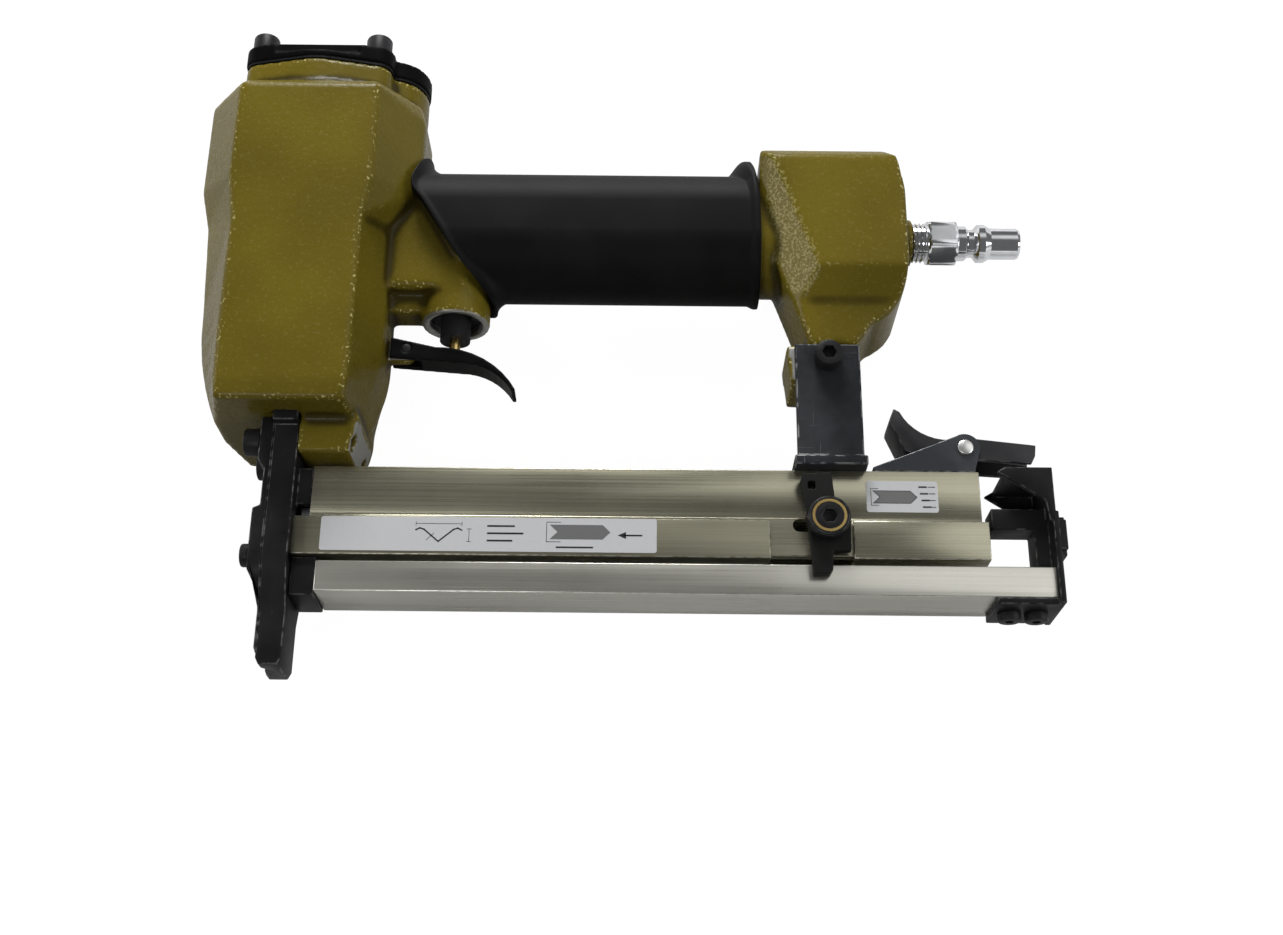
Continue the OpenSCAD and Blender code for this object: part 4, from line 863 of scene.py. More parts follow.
class Facing(Enum):
    """Way that a screw's head points: the turn that brings +z there, the axis's number and the sign along it."""

    UP_BARREL = ((-math.pi / 2, 0.0, 0.0), 1, 1.0)
    DOWN_BARREL = ((math.pi / 2, 0.0, 0.0), 1, -1.0)
    TO_FRONT = ((0.0, -math.pi / 2, 0.0), 0, -1.0)
    TO_NEAR_SIDE = ((0.0, 0.0, 0.0), 2, 1.0)

    def __init__(self, turn: tuple[float, float, float], axis: int, sign: float) -> None:
        """Names the three values, and the axis that a diameter is measured along."""
        self.turn = turn
        self.axis = axis
        self.sign = sign
        self.side = (axis + 1) % 3


@dataclass(frozen=True)
class ScrewSize:
    """Height of the head, diameter of the shank and width of the key of a socket screw, in millimetres."""

    head_height: float
    shank: float
    key: float


LARGE_SCREW = ScrewSize(5.0, 5.0, 4.0)
CAP_SCREW = ScrewSize(6.3, 5.0, 4.0)
SMALL_SCREW = ScrewSize(2.6, 4.0, 2.5)


@dataclass
class Fasteners:
    """Socket screws and pins of the whole tool."""

    ease: float = 0.55
    sides: int = 40
    large_head: float = 8.0

    def screw_tree(self) -> GeometryTree:
        """Tree of a socket screw: rounded head with a hexagon socket, and a shank with a chamfered end."""
        tree = GeometryTree("socket_screw")
        head, height, ease, shank, length, key = tree.sizes(
            "Head Radius", "Head Height", "Ease", "Shank Radius", "Shank Length", "Key Size")
        heights = [0.0 - length, ease - length, -0.00002, 0.0, ease * 0.4, height - ease, height - ease * 0.3, height]
        radii = [shank - ease * 0.7, shank, shank, head - ease * 0.4, head, head, head - ease * 0.35, head - ease]
        solid = tree.lathe(heights, radii, self.sides)
        inputs = {"Vertices": 6, "Radius": key / math.sqrt(3), "Depth": height}
        socket = tree.node("GeometryNodeMeshCylinder", {}, inputs).outputs["Mesh"]
        lift = tree.node("ShaderNodeCombineXYZ", {}, {"Z": height}).outputs[0]
        raised = tree.node("GeometryNodeTransform", {}, {"Geometry": socket, "Translation": lift}).outputs[0]
        cut = tree.node("GeometryNodeMeshBoolean", {"operation": "DIFFERENCE", "solver": "EXACT"},
                        {"Mesh 1": solid, "Mesh 2": raised}).outputs[0]
        tree.spread(cut)
        return tree

    def pin_tree(self) -> GeometryTree:
        """Tree of a plain pin with eased ends."""
        tree = GeometryTree("eased_pin")
        radius, length, ease = tree.sizes("Radius", "Length", "Ease")
        heights = [0.0 - length, ease * 0.4 - length, ease - length, 0.0 - ease, ease * -0.4, 0.0]
        radii = [radius - ease, radius - ease * 0.3, radius, radius, radius - ease * 0.3, radius - ease]
        tree.spread(tree.lathe(heights, radii, self.sides))
        return tree

    def screws(self, tree: GeometryTree, node: str, facing: Facing, large: ScrewSize = LARGE_SCREW) -> None:
        """Replaces a CAD node of socket screws.

        Args:
            tree: the socket screw's tree.
            node: CAD node that holds the screws.
            facing: way that their heads point.
            large: sizes of its screws whose head is at least large_head wide.
        """
        axis, side = facing.axis, facing.side
        kinds: dict[ScrewSize, list[tuple[Vector, Vector]]] = {}
        for low, high in solid_boxes(node):
            small = (high[side] - low[side]) < self.large_head * MM
            kinds.setdefault(SMALL_SCREW if small else large, []).append((low, high))
        shape = bmesh.new()
        for size, boxes in kinds.items():
            low, high = boxes[0]
            seats = []
            for box_low, box_high in boxes:
                seat = (box_low + box_high) / 2
                end = box_high[axis] if facing.sign > 0 else box_low[axis]
                seat[axis] = end - facing.sign * size.head_height * MM
                seats.append(seat)
            mesh = tree.run(seats, Head_Radius=(high[side] - low[side]) / 2, Head_Height=size.head_height * MM,
                            Ease=self.ease * MM, Shank_Radius=size.shank / 2 * MM, Turn=facing.turn,
                            Shank_Length=high[axis] - low[axis] - size.head_height * MM, Key_Size=size.key * MM,
                            Material=SCREW_BLACK.material())
            shape.from_mesh(mesh)
        add_piece(f"{node}_turned", to_mesh(shape, node), [SCREW_BLACK], node)

    def pins(self, tree: GeometryTree, node: str, facing: Facing, finish: Finish, ease: float) -> None:
        """Replaces a CAD node of plain pins that all point one way.

        Args:
            tree: the pin's tree.
            node: CAD node that holds the pins.
            facing: way that they point.
            finish: finish of the pins.
            ease: rounding of their ends in millimetres.
        """
        axis, side = facing.axis, facing.side
        boxes = solid_boxes(node)
        tops = []
        for low, high in boxes:
            top = (low + high) / 2
            top[axis] = high[axis]
            tops.append(top)
        low, high = boxes[0]
        mesh = tree.run(tops, Radius=(high[side] - low[side]) / 2, Length=high[axis] - low[axis], Ease=ease * MM,
                        Turn=facing.turn, Material=finish.material())
        add_piece(f"{node}_turned", mesh, [finish], node)

    def build(self) -> None:
        """Makes every screw and pin."""
        screw = self.screw_tree()
        self.screws(screw, "cap_screws", Facing.UP_BARREL, CAP_SCREW)
        for node, facing in (("nose_screws", Facing.TO_FRONT), ("bracket_screw", Facing.TO_NEAR_SIDE),
                             ("bracket_foot_screws", Facing.UP_BARREL), ("drawer_screws", Facing.DOWN_BARREL)):
            self.screws(screw, node, facing)
        pin = self.pin_tree()
        self.pins(pin, "latch_pin", Facing.TO_NEAR_SIDE, ZINC, 0.5)
        self.pins(pin, "trigger_pin", Facing.TO_NEAR_SIDE, SCREW_BLACK, 0.3)


@dataclass(frozen=True)
class SpringPlan:
    """How a CAD spring is wound and what presses it.

    Args:
        node: CAD node of the spring.
        axis: number of the axis that it runs along.
        wire: wire diameter in millimetres.
        turns: turns of the spring.
        joint: name of the joint that presses it, or none.
        travel: that joint's travel in millimetres; not used.
    """

    node: str
    axis: int
    wire: float
    turns: int
    joint: Optional[str] = None
    travel: float = 0.0


@dataclass
class Springs:
    """Wound springs, each as one unbroken wire."""

    steps: int = 28
    sides: int = 10
    play: float = 0.12
    plans: tuple[SpringPlan, ...] = (
        SpringPlan("head_valve_spring", 1, 1.8, 6, "head_valve_lift", 3.0),
        SpringPlan("valve_spring", 1, 0.6, 3, "stem_lift", 2.2),
        SpringPlan("pusher_spring", 0, 0.6, 40, "pusher_slide", 165.0),
        SpringPlan("latch_spring", 2, 0.6, 6),
    )

    def tree(self) -> GeometryTree:
        """Tree of a spring: a helix of wire with closed ends."""
        tree = GeometryTree("wound_spring")
        coil, wire, turns, length = tree.sizes("Coil Radius", "Wire Radius", "Turns", "Length")
        inputs = {"Resolution": self.steps, "Rotations": turns, "Start Radius": coil, "End Radius": coil,
                  "Height": length - wire * 2}
        helix = tree.node("GeometryNodeCurveSpiral", {}, inputs).outputs[0]
        inputs = {"Resolution": self.sides, "Radius": wire}
        ring = tree.node("GeometryNodeCurvePrimitiveCircle", {}, inputs).outputs[0]
        inputs = {"Curve": helix, "Profile Curve": ring, "Fill Caps": True}
        body = tree.node("GeometryNodeCurveToMesh", {}, inputs).outputs[0]
        lift = tree.node("ShaderNodeCombineXYZ", {}, {"Z": wire}).outputs[0]
        tree.spread(tree.node("GeometryNodeTransform", {}, {"Geometry": body, "Translation": lift}).outputs[0])
        return tree

    def wind(self, tree: GeometryTree, plan: SpringPlan) -> bpy.types.Object:
        """Replaces a CAD spring.

        Args:
            tree: the spring's tree.
            plan: plan of the spring.

        Returns:
            The spring's object.
        """
        low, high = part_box(plan.node)
        axis, wire = plan.axis, plan.wire
        foot = (low + high) / 2
        foot[axis] = low[axis] + self.play * MM
        turn = {0: (0.0, math.pi / 2, 0.0), 1: (-math.pi / 2, 0.0, 0.0), 2: (0.0, 0.0, 0.0)}[axis]
        side = max(high[other] - low[other] for other in range(3) if other != axis)
        mesh = tree.run([foot], Coil_Radius=side / 2 - wire / 2 * MM, Wire_Radius=wire / 2 * MM,
                        Turns=float(plan.turns), Length=high[axis] - low[axis] - 2 * self.play * MM, Turn=turn,
                        Material=STEEL.material())
        return add_piece(f"{plan.node}_wound", mesh, [STEEL], plan.node)

    def press(self, spring: bpy.types.Object, plan: SpringPlan) -> None:
        """Gives the spring its own copy of its mesh.

        Args:
            spring: the spring's object.
            plan: plan of the spring.
        """
        low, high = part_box(plan.node)
        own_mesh(spring)

    def build(self) -> None:
        """Makes the springs."""
        tree = self.tree()
        for plan in self.plans:
            spring = self.wind(tree, plan)
            if plan.joint:
                self.press(spring, plan)


# Sub-assemblies


@dataclass
class Casting:
    """Enamelled housing with its machined faces."""

    voxel: float = 0.95
    passes: int = 5
    kept_share: float = 0.55
    neck_top: float = 132.4
    bore_r: float = 19.5
    tail_rear_x: float = 190.4
    inlet_r: float = 6.56
    valve_x: float = 47.9
    valve_face_y: float = 46.0
    valve_r: float = 8.26
    boss_r: float = 10.8
    leg_reach: float = 19.6
    leg_top: float = 7.0
    lug_y: float = 36.2
    lug_half: float = 3.4
    lug_x: tuple[float, float] = (27.5, 37.0)
    tail_leg_half: float = 10.0
    tail_end_y: float = 34.9
    tail_leg_x: float = 152.0
    tail_front_x: float = 145.6
    neck_plug: tuple[float, float] = (-8.0, -5.0)
    foot_plug: tuple[float, float] = (13.5, 16.5)
    foot_r: float = 8.5
    valve_plug: tuple[float, float] = (5.0, 8.0)
    inlet_plug: tuple[float, float] = (-6.0, -3.0)
    plug_overlap: float = 0.8
    edge_gain: float = 9.0
    # Painted shade in creases: its gain and how far it spreads.
    hollow_gain: float = -16.0
    hollow_passes: int = 5

    def plugs(self) -> list[Callable[[bmesh.types.BMesh], None]]:
        """Hidden discs that close the bores, so that the skin has no inside."""
        neck = [TOOL.at(0, self.neck_top + y) for y in self.neck_plug]
        foot = [TOOL.at(0, y) for y in self.foot_plug]
        valve = [TOOL.at(self.valve_x, self.valve_face_y + y) for y in self.valve_plug]
        inlet = [TOOL.at(self.tail_rear_x + x, HANDLE_Y) for x in self.inlet_plug]
        return [
            rod_between(*neck, self.bore_r + self.plug_overlap),
            rod_between(*foot, self.foot_r),
            rod_between(*valve, self.valve_r + self.plug_overlap),
            rod_between(*inlet, self.inlet_r + self.plug_overlap),
        ]

    def bareness(self, place: Vector, normal: Vector) -> float:
        """How bare of enamel a point of the casting is, from 0 to 1."""
        x, y, z = TOOL.of(place)
        from_valve = math.hypot(x - self.valve_x, z)
        valve_ring = y < self.valve_face_y + 0.5 and from_valve < self.boss_r + 1 and normal.y < -0.6
        valve_wall = y < self.valve_face_y + 6 and from_valve < self.valve_r + 0.6
        leg_back = y < self.leg_top and self.leg_reach - 1 < x < self.leg_reach + 4 and normal.x > 0.75
        lug_side = abs(y - self.lug_y) < self.lug_half and self.lug_x[0] < x < self.lug_x[1] and abs(normal.z) > 0.8
        pad = y < self.tail_end_y + 0.4 and x > self.tail_leg_x - 1 and normal.z > 0.9 and z > self.tail_leg_half - 1
        return 1.0 if valve_ring or valve_wall or leg_back or lug_side or pad else 0.0

    def roughness(self, place: Vector, normal: Vector) -> float:
        """How much painted glint a point of the casting gets: 1 on the tail's slanted facet, and 0 elsewhere."""
        x, y, _ = TOOL.of(place)
        beside = self.tail_front_x + 1 < x < self.tail_front_x + 26 and y > HANDLE_Y - 26
        return 1.0 if beside and -0.75 < normal.x < -0.22 and normal.z > 0.55 else 0.0

    def build(self) -> None:
        """Makes the casting."""
        mesh = smoothed("housing", self.voxel, self.passes, self.plugs(), self.kept_share)
        mark_points(mesh, "bare", self.bareness)
        # Painted highlight: glints on the tail's slanted facet.
        mark_points(mesh, "facet_glint", self.roughness)
        # Convex edges, which carry painted glints.
        mark_bends(mesh, "edge", self.edge_gain)
        # Painted shade: how concave each point is, which darkens the enamel there.
        mark_bends(mesh, "hollow", self.hollow_gain, self.hollow_passes)
        add_piece("cast_housing", mesh, [ENAMEL], "housing")


@dataclass
class Grip:
    """Rubber sleeve on the handle whose two ends flare out where they meet the casting."""

    half_h: float = 21.7
    half_t: float = 16.9
    core_h: float = 19.46
    core_t: float = 14.66
    front_x: float = 32.0
    front_step: float = 2.4
    bend: float = 9.0
    bend_round: float = 6.0
    lean: float = 0.578
    barrel_x: float = 36.4
    valve_edge_x: float = 60.0
    rear_x: float = 144.6
    rear_bow: float = 7.0
    top_flare: float = 6.0
    low_flare: float = 5.2
    side_flare: float = 1.1
    rear_flare: float = 0.9
    least_reach: float = 2.5
    lip: float = 0.875
    sides: int = 180
    steps: int = 10

    def front_line(self, y: float) -> float:
        """Place of the front edge at a height, upright at the top and leaning back below a soft bend."""
        up = y - HANDLE_Y
        low = self.front_x + self.front_step + self.lean * (self.bend - up)
        share = max(0.0, min(1.0, (up - self.bend + self.bend_round) / (2 * self.bend_round)))
        share = share * share * (3 - 2 * share)
        return low + (self.front_x - low) * share

    def rear_line(self, y: float) -> float:
        """Place of the rear edge at a height, bowed forwards at the top."""
        up = max(0.0, min(1.0, (y - HANDLE_Y) / (self.half_h + self.top_flare)))
        return self.rear_x - self.rear_bow * (1 - math.sqrt(1 - up * up))

    def point(self, angle: float, rise: float, core: bool = False) -> tuple[float, float]:
        """Point of the cross-section at an angle.

        Args:
            angle: angle from the near side towards the top.
            rise: distance out of the sleeve's plain surface.
            core: whether the point lies on the handle's core instead.

        Returns:
            Height and depth in the tool's millimetres.
        """
        half_h, half_t = (self.core_h, self.core_t) if core else (self.half_h, self.half_t)
        straight = math.copysign(half_h - half_t, math.sin(angle))
        radius = half_t + rise
        return HANDLE_Y + straight + radius * math.sin(angle), radius * math.cos(angle)

    def rings(self) -> list[list[tuple[float, float, float]]]:
        """Rings from the inside of the front edge over the flares to the inside of the rear edge."""
        angles = [math.tau * (i + 0.5) / self.sides for i in range(self.sides)]
        tops = [max(0.0, math.sin(angle)) ** 2 for angle in angles]
        lows = [max(0.0, -math.sin(angle)) ** 2 for angle in angles]
        fronts, rears = [], []
        for angle, top, low in zip(angles, tops, lows):
            y = self.point(angle, 0.0)[0]
            start = self.front_line(y)
            to_barrel, to_valve = max(0.0, self.barrel_x - start), max(0.0, self.valve_edge_x - start)
            fronts.append(start + to_barrel * top + to_valve * low ** 2)
            rears.append(self.rear_line(y))
        to_top, to_low = self.top_flare - self.side_flare, self.low_flare - self.side_flare
        front_rise = [self.side_flare + to_top * top + to_low * low for top, low in zip(tops, lows)]
        rear_rise = [self.rear_flare + (self.top_flare - self.rear_flare) * top for top in tops]

        def ring(places: list[float], rises: list[float], share: float, along: float, core: bool = False) -> list:
            """One ring at a share of the flare's rise and a share of its length from an end."""
            made = []
            for i, angle in enumerate(angles):
                reach = max(self.least_reach, rises[i])
                y, z = self.point(angle, rises[i] * share, core)
                made.append((places[i] + along * reach, y, z))
            return made

        turns = [math.pi / 2 * i / self.steps for i in range(self.steps + 1)]
        found = [ring(fronts, front_rise, 0.0, 0.0, core=True), ring(fronts, front_rise, self.lip, 0.0)]
        found += [ring(fronts, front_rise, 1.0, 0.08)]
        found += [ring(fronts, front_rise, 1 - math.sin(turn), 0.2 + 1.15 * (1 - math.cos(turn))) for turn in turns]
        found += [ring(rears, rear_rise, 0.5 + 0.5 * math.cos(2 * turn), -0.4 - 1.1 * turn / turns[-1])
                  for turn in reversed(turns)]
        found += [ring(rears, rear_rise, 1.0, -0.1), ring(rears, rear_rise, self.lip, 0.0)]
        found += [ring(rears, rear_rise, 0.0, 0.0, core=True)]
        return found

    def build(self) -> None:
        """Makes the sleeve as rings of points joined along the handle."""
        shape = bmesh.new()
        rings = [[shape.verts.new(TOOL.at(*point)) for point in ring] for ring in self.rings()]
        join_rings(shape, rings, closed=True)
        add_piece("rubber_grip", to_mesh(shape, "grip_sleeve", 50.0), [GRIP_RUBBER], "grip_sleeve")


@dataclass
class Cap:
    """Black cap on the barrel and the gasket under it."""

    voxel: float = 0.5
    passes: int = 3
    kept_share: float = 0.6

    def build(self) -> None:
        """Makes the cap and dresses the gasket."""
        mesh = smoothed("cylinder_cap", self.voxel, self.passes, keep=self.kept_share)
        add_piece("satin_cap", mesh, [CAP_BLACK], "cylinder_cap")
        dress_nodes(SEAL_RUBBER, "cap_gasket")


@dataclass
class TriggerSet:
    """Trigger with its valve."""

    voxel: float = 0.32
    passes: int = 4

    def build(self) -> None:
        """Makes the trigger and dresses the valve's pieces."""
        add_piece("curved_trigger", smoothed("trigger", self.voxel, self.passes), [TRIGGER_BLACK], "trigger")
        dress_nodes(BRASS, "valve_stem")
        dress_nodes(PLASTIC, "valve_body", "valve_plug")
        dress_nodes(SEAL_RUBBER, "valve_seals")


@dataclass
class Nose:
    """Black steel nose with its front plate."""

    rounding: float = 0.35
    plate_rounding: float = 0.45

    def build(self) -> None:
        """Makes both nose pieces."""
        add_piece("nose_guide", softened("nose_body", self.rounding), [NOSE_BLACK], "nose_body")
        plate = softened("nose_front_plate", self.plate_rounding)
        add_piece("nose_cover", plate, [NOSE_BLACK], "nose_front_plate")


@dataclass(frozen=True)
class Label:
    """Paper label on a flat side that faces +z, with printed shapes.

    Args:
        name: name of the piece.
        node: CAD node that the label is stuck to.
        low: lower left corner in the tool's millimetres.
        high: upper right corner in the tool's millimetres.
        face_z: height of the face that carries it.
    """

    name: str
    node: str
    low: tuple[float, float]
    high: tuple[float, float]
    face_z: float
    gap: float = 0.01
    paper: float = 0.12
    ink: float = 0.02
    corner: float = 0.5

    def slab(self, shape: bmesh.types.BMesh, outline: Outline, base: float, top: float, number: int) -> None:
        """Adds a flat slab.

        Args:
            shape: bmesh to add to.
            outline: points in millimetres from the label's lower left corner, anticlockwise.
            base: height of its underside above the face.
            top: height of its upper side.
            number: material number.
        """
        rings = [[shape.verts.new(TOOL.at(self.low[0] + x, self.low[1] + y, self.face_z + z)) for x, y in outline]
                 for z in (base, top)]
        faces = [shape.faces.new(rings[1]), shape.faces.new(rings[0][::-1])]
        for i in range(len(outline)):
            j = (i + 1) % len(outline)
            faces.append(shape.faces.new((rings[0][i], rings[0][j], rings[1][j], rings[1][i])))
        for face in faces:
            face.material_index = number

    @staticmethod
    def stroke(points: Outline, width: float) -> list[list[tuple[float, float]]]:
        """Thin bars along a line of points."""
        bars = []
        for (x0, y0), (x1, y1) in zip(points, points[1:]):
            length = math.hypot(x1 - x0, y1 - y0)
            ux, uy = (x1 - x0) / length, (y1 - y0) / length
            px, py = -uy * width / 2, ux * width / 2
            ex, ey = ux * width / 2, uy * width / 2
            bars.append([(x0 - ex - px, y0 - ey - py), (x1 + ex - px, y1 + ey - py),
                         (x1 + ex + px, y1 + ey + py), (x0 - ex + px, y0 - ey + py)])
        return bars

    def sheet(self) -> list[tuple[float, float]]:
        """Outline of the paper with its corners eased."""
        width, height = self.high[0] - self.low[0], self.high[1] - self.low[1]
        c = self.corner
        return [(c, 0), (width - c, 0), (width, c), (width, height - c), (width - c, height), (c, height),
                (0, height - c), (0, c)]

    def build(self, ink: Sequence[Outline], grey: Sequence[Outline]) -> None:
        """Makes the label.

        Args:
            ink: outlines printed in black.
            grey: outlines printed in grey.
        """
        shape = bmesh.new()
        self.slab(shape, self.sheet(), self.gap, self.paper, 0)
        for number, outlines in ((2, grey), (1, ink)):
            for outline in outlines:
                self.slab(shape, outline, self.paper, self.paper + self.ink * (3 - number), number)
        bmesh.ops.recalc_face_normals(shape, faces=shape.faces)
        add_piece(self.name, to_mesh(shape, self.name), [PAPER, INK, GREY_INK], self.node, replaces=False)


@dataclass
class Magazine:
    """Nail rail with its cover strips, labels and bracket."""

    rounding: float = 0.3
    bracket_rounding: float = 0.5
    bracket_segments: int = 3
    rail_face: float = 8.5
    strip_face: float = 10.3
    groove_y: float = -21.4
    groove: float = 0.3
    near: float = 0.01
    hair_line: float = 0.14
    frame_line: float = 0.16
    bold_line: float = 0.5

    def cut_groove(self, shape: bmesh.types.BMesh) -> None:
        """Presses a fine groove along both sides of the rail."""
        for offset in (-self.groove, 0.0, self.groove):
            plane = TOOL.at(0, self.groove_y + offset)
            bmesh.ops.bisect_plane(shape, geom=[*shape.verts, *shape.edges, *shape.faces], dist=FINE_WELD * MM,
                                   plane_co=plane, plane_no=(0, 1, 0))
        line = TOOL.at(0, self.groove_y)
        for vert in shape.verts:
            depth = (vert.co.z - line.z) / MM
            if abs(vert.co.y - line.y) < self.near * MM and abs(abs(depth) - self.rail_face) < self.near:
                vert.co.z -= math.copysign(self.groove * MM, depth)

    @staticmethod
    def nail_strip(x: float, y: float, length: float, height: float) -> list[tuple[float, float]]:
        """Outline of a glued strip of nails: pointed at the right end and notched at the left."""
        half = height / 2
        return [(x, y - half), (x + length - half, y - half), (x + length, y), (x + length - half, y + half),
                (x, y + half), (x + half, y)]

    def long_label(self) -> None:
        """Label on the front strip: nail profile with its measures, lines, a strip of nails and an arrow."""
        label = Label("long_label", "front_strip", (12.7, -33.7), (112.2, -23.0), self.strip_face)
        fold = [(28.2, 6.6), (29.4, 7.2), (30.6, 6.8), (35.0, 3.0), (39.4, 6.8), (40.6, 7.2), (41.8, 6.6)]
        measures = [[(28.2, 8.6), (41.8, 8.6)], [(44.0, 3.0), (44.0, 7.0)]]
        measures += [[(x, 8.0), (x, 9.2)] for x in (28.2, 41.8)]
        measures += [[(43.4, y), (44.6, y)] for y in (3.0, 7.0)]
        measures += [[(31.4, 3.4), (33.6, 5.6)]]
        thin = [bar for measure in measures for bar in label.stroke(measure, self.hair_line)]
        lines = []
        for row, length in enumerate((7.6, 10.2, 7.0)):
            lines += label.stroke([(49.6, 8.0 - 2.3 * row), (49.6 + length, 8.0 - 2.3 * row)], 0.55)
        lines += label.stroke([(70.0, 1.5), (80.5, 1.5)], self.bold_line)
        frame_lines = label.stroke([(71.0, 3.2), (66.9, 3.2), (66.9, 9.4), (71.0, 9.4)], self.frame_line)
        shaft = label.stroke([(90.0, 5.4), (95.0, 5.4)], self.bold_line)
        head = [[(88.0, 5.4), (90.4, 4.3), (90.4, 6.5)]]
        label.build(label.stroke(fold, 0.42) + thin + lines + frame_lines + shaft + head,
                    [self.nail_strip(67.8, 6.3, 18.0, 4.6)])

    def short_label(self) -> None:
        """Label on the rail: a strip of nails and a row of scale marks."""
        label = Label("short_label", "magazine_rail", (175.0, -19.4), (196.5, -9.3), self.rail_face)
        marks = []
        for row in range(4):
            y = 8.2 - 2.15 * row
            marks += label.stroke([(16.0 + 0.35 * row, y), (18.0 + 0.35 * row, y)], self.bold_line)
            marks += label.stroke([(18.7 + 0.2 * row, y), (20.6, y)], 0.22)
        frame_lines = label.stroke([(3.6, 2.2), (1.4, 2.2), (1.4, 7.6), (3.6, 7.6)], self.frame_line)
        outline = self.nail_strip(2.0, 4.9, 13.2, 4.0)
        label.build(marks + frame_lines + label.stroke([*outline, outline[0]], self.frame_line), [outline])

    def build(self) -> None:
        """Makes the rails, the bracket and the labels."""
        rail = softened("magazine_rail", self.rounding, after=self.cut_groove)
        add_piece("brushed_rail", rail, [RAIL], "magazine_rail")
        # The front strip takes the darker copy of the rail's finish, which paints shade on it.
        for node, finish in (("front_strip", SHADED_STRIP), ("rear_strip", RAIL), ("back_strip", RAIL)):
            add_piece(f"brushed_{node}", softened(node, self.rounding), [finish], node)
        bracket = softened("magazine_bracket", self.bracket_rounding, self.bracket_segments)
        add_piece("scuffed_bracket", bracket, [PLATE_BLUE], "magazine_bracket")
        dress_nodes(SCREW_BLACK, "rail_screws")
        dress_nodes(STEEL, "bracket_nut")
        self.long_label()
        self.short_label()


@dataclass
class Drawer:
    """Sliding lower rail with its end blocks and the pusher on its rod."""

    rounding: float = 0.35
    pusher_rounding: float = 0.2

    def build(self) -> None:
        """Makes the drawer's pieces."""
        add_piece("brushed_drawer", softened("drawer_rail", self.rounding), [DRAWER], "drawer_rail")
        for node in ("drawer_front_block", "drawer_end_block"):
            add_piece(f"black_{node}", softened(node, self.rounding), [BLOCK_BLACK], node)
        add_piece("ground_pusher", softened("pusher", self.pusher_rounding), [STEEL], "pusher")
        dress_nodes(STEEL, "pusher_rod")


@dataclass
class Latch:
    """Sheet steel latch base and its lever."""

    rounding: float = 0.3

    def build(self) -> None:
        """Makes the base and the lever."""
        add_piece("blued_latch_base", softened("latch_base", self.rounding), [BASE_BLUE], "latch_base")
        add_piece("worn_latch_lever", softened("latch_lever", self.rounding), [LEVER_BLACK], "latch_lever")
        dress_nodes(ZINC, "latch_rivets")


@dataclass
class StopClip:
    """Black stop clip with its clamp screw and brass ring."""

    voxel: float = 0.3
    passes: int = 3
    screw_rounding: float = 0.12
    screw_angle: float = 20.0

    def build(self) -> None:
        """Makes the clip and its screw, and dresses the ring."""
        add_piece("black_stop_clip", smoothed("stop_clip", self.voxel, self.passes), [CLIP_BLACK], "stop_clip")
        screw = softened("clamp_screw", self.screw_rounding, least_angle=self.screw_angle)
        add_piece("clamp_knob", screw, [SCREW_BLACK], "clamp_screw")
        dress_nodes(BRASS, "clamp_ring")


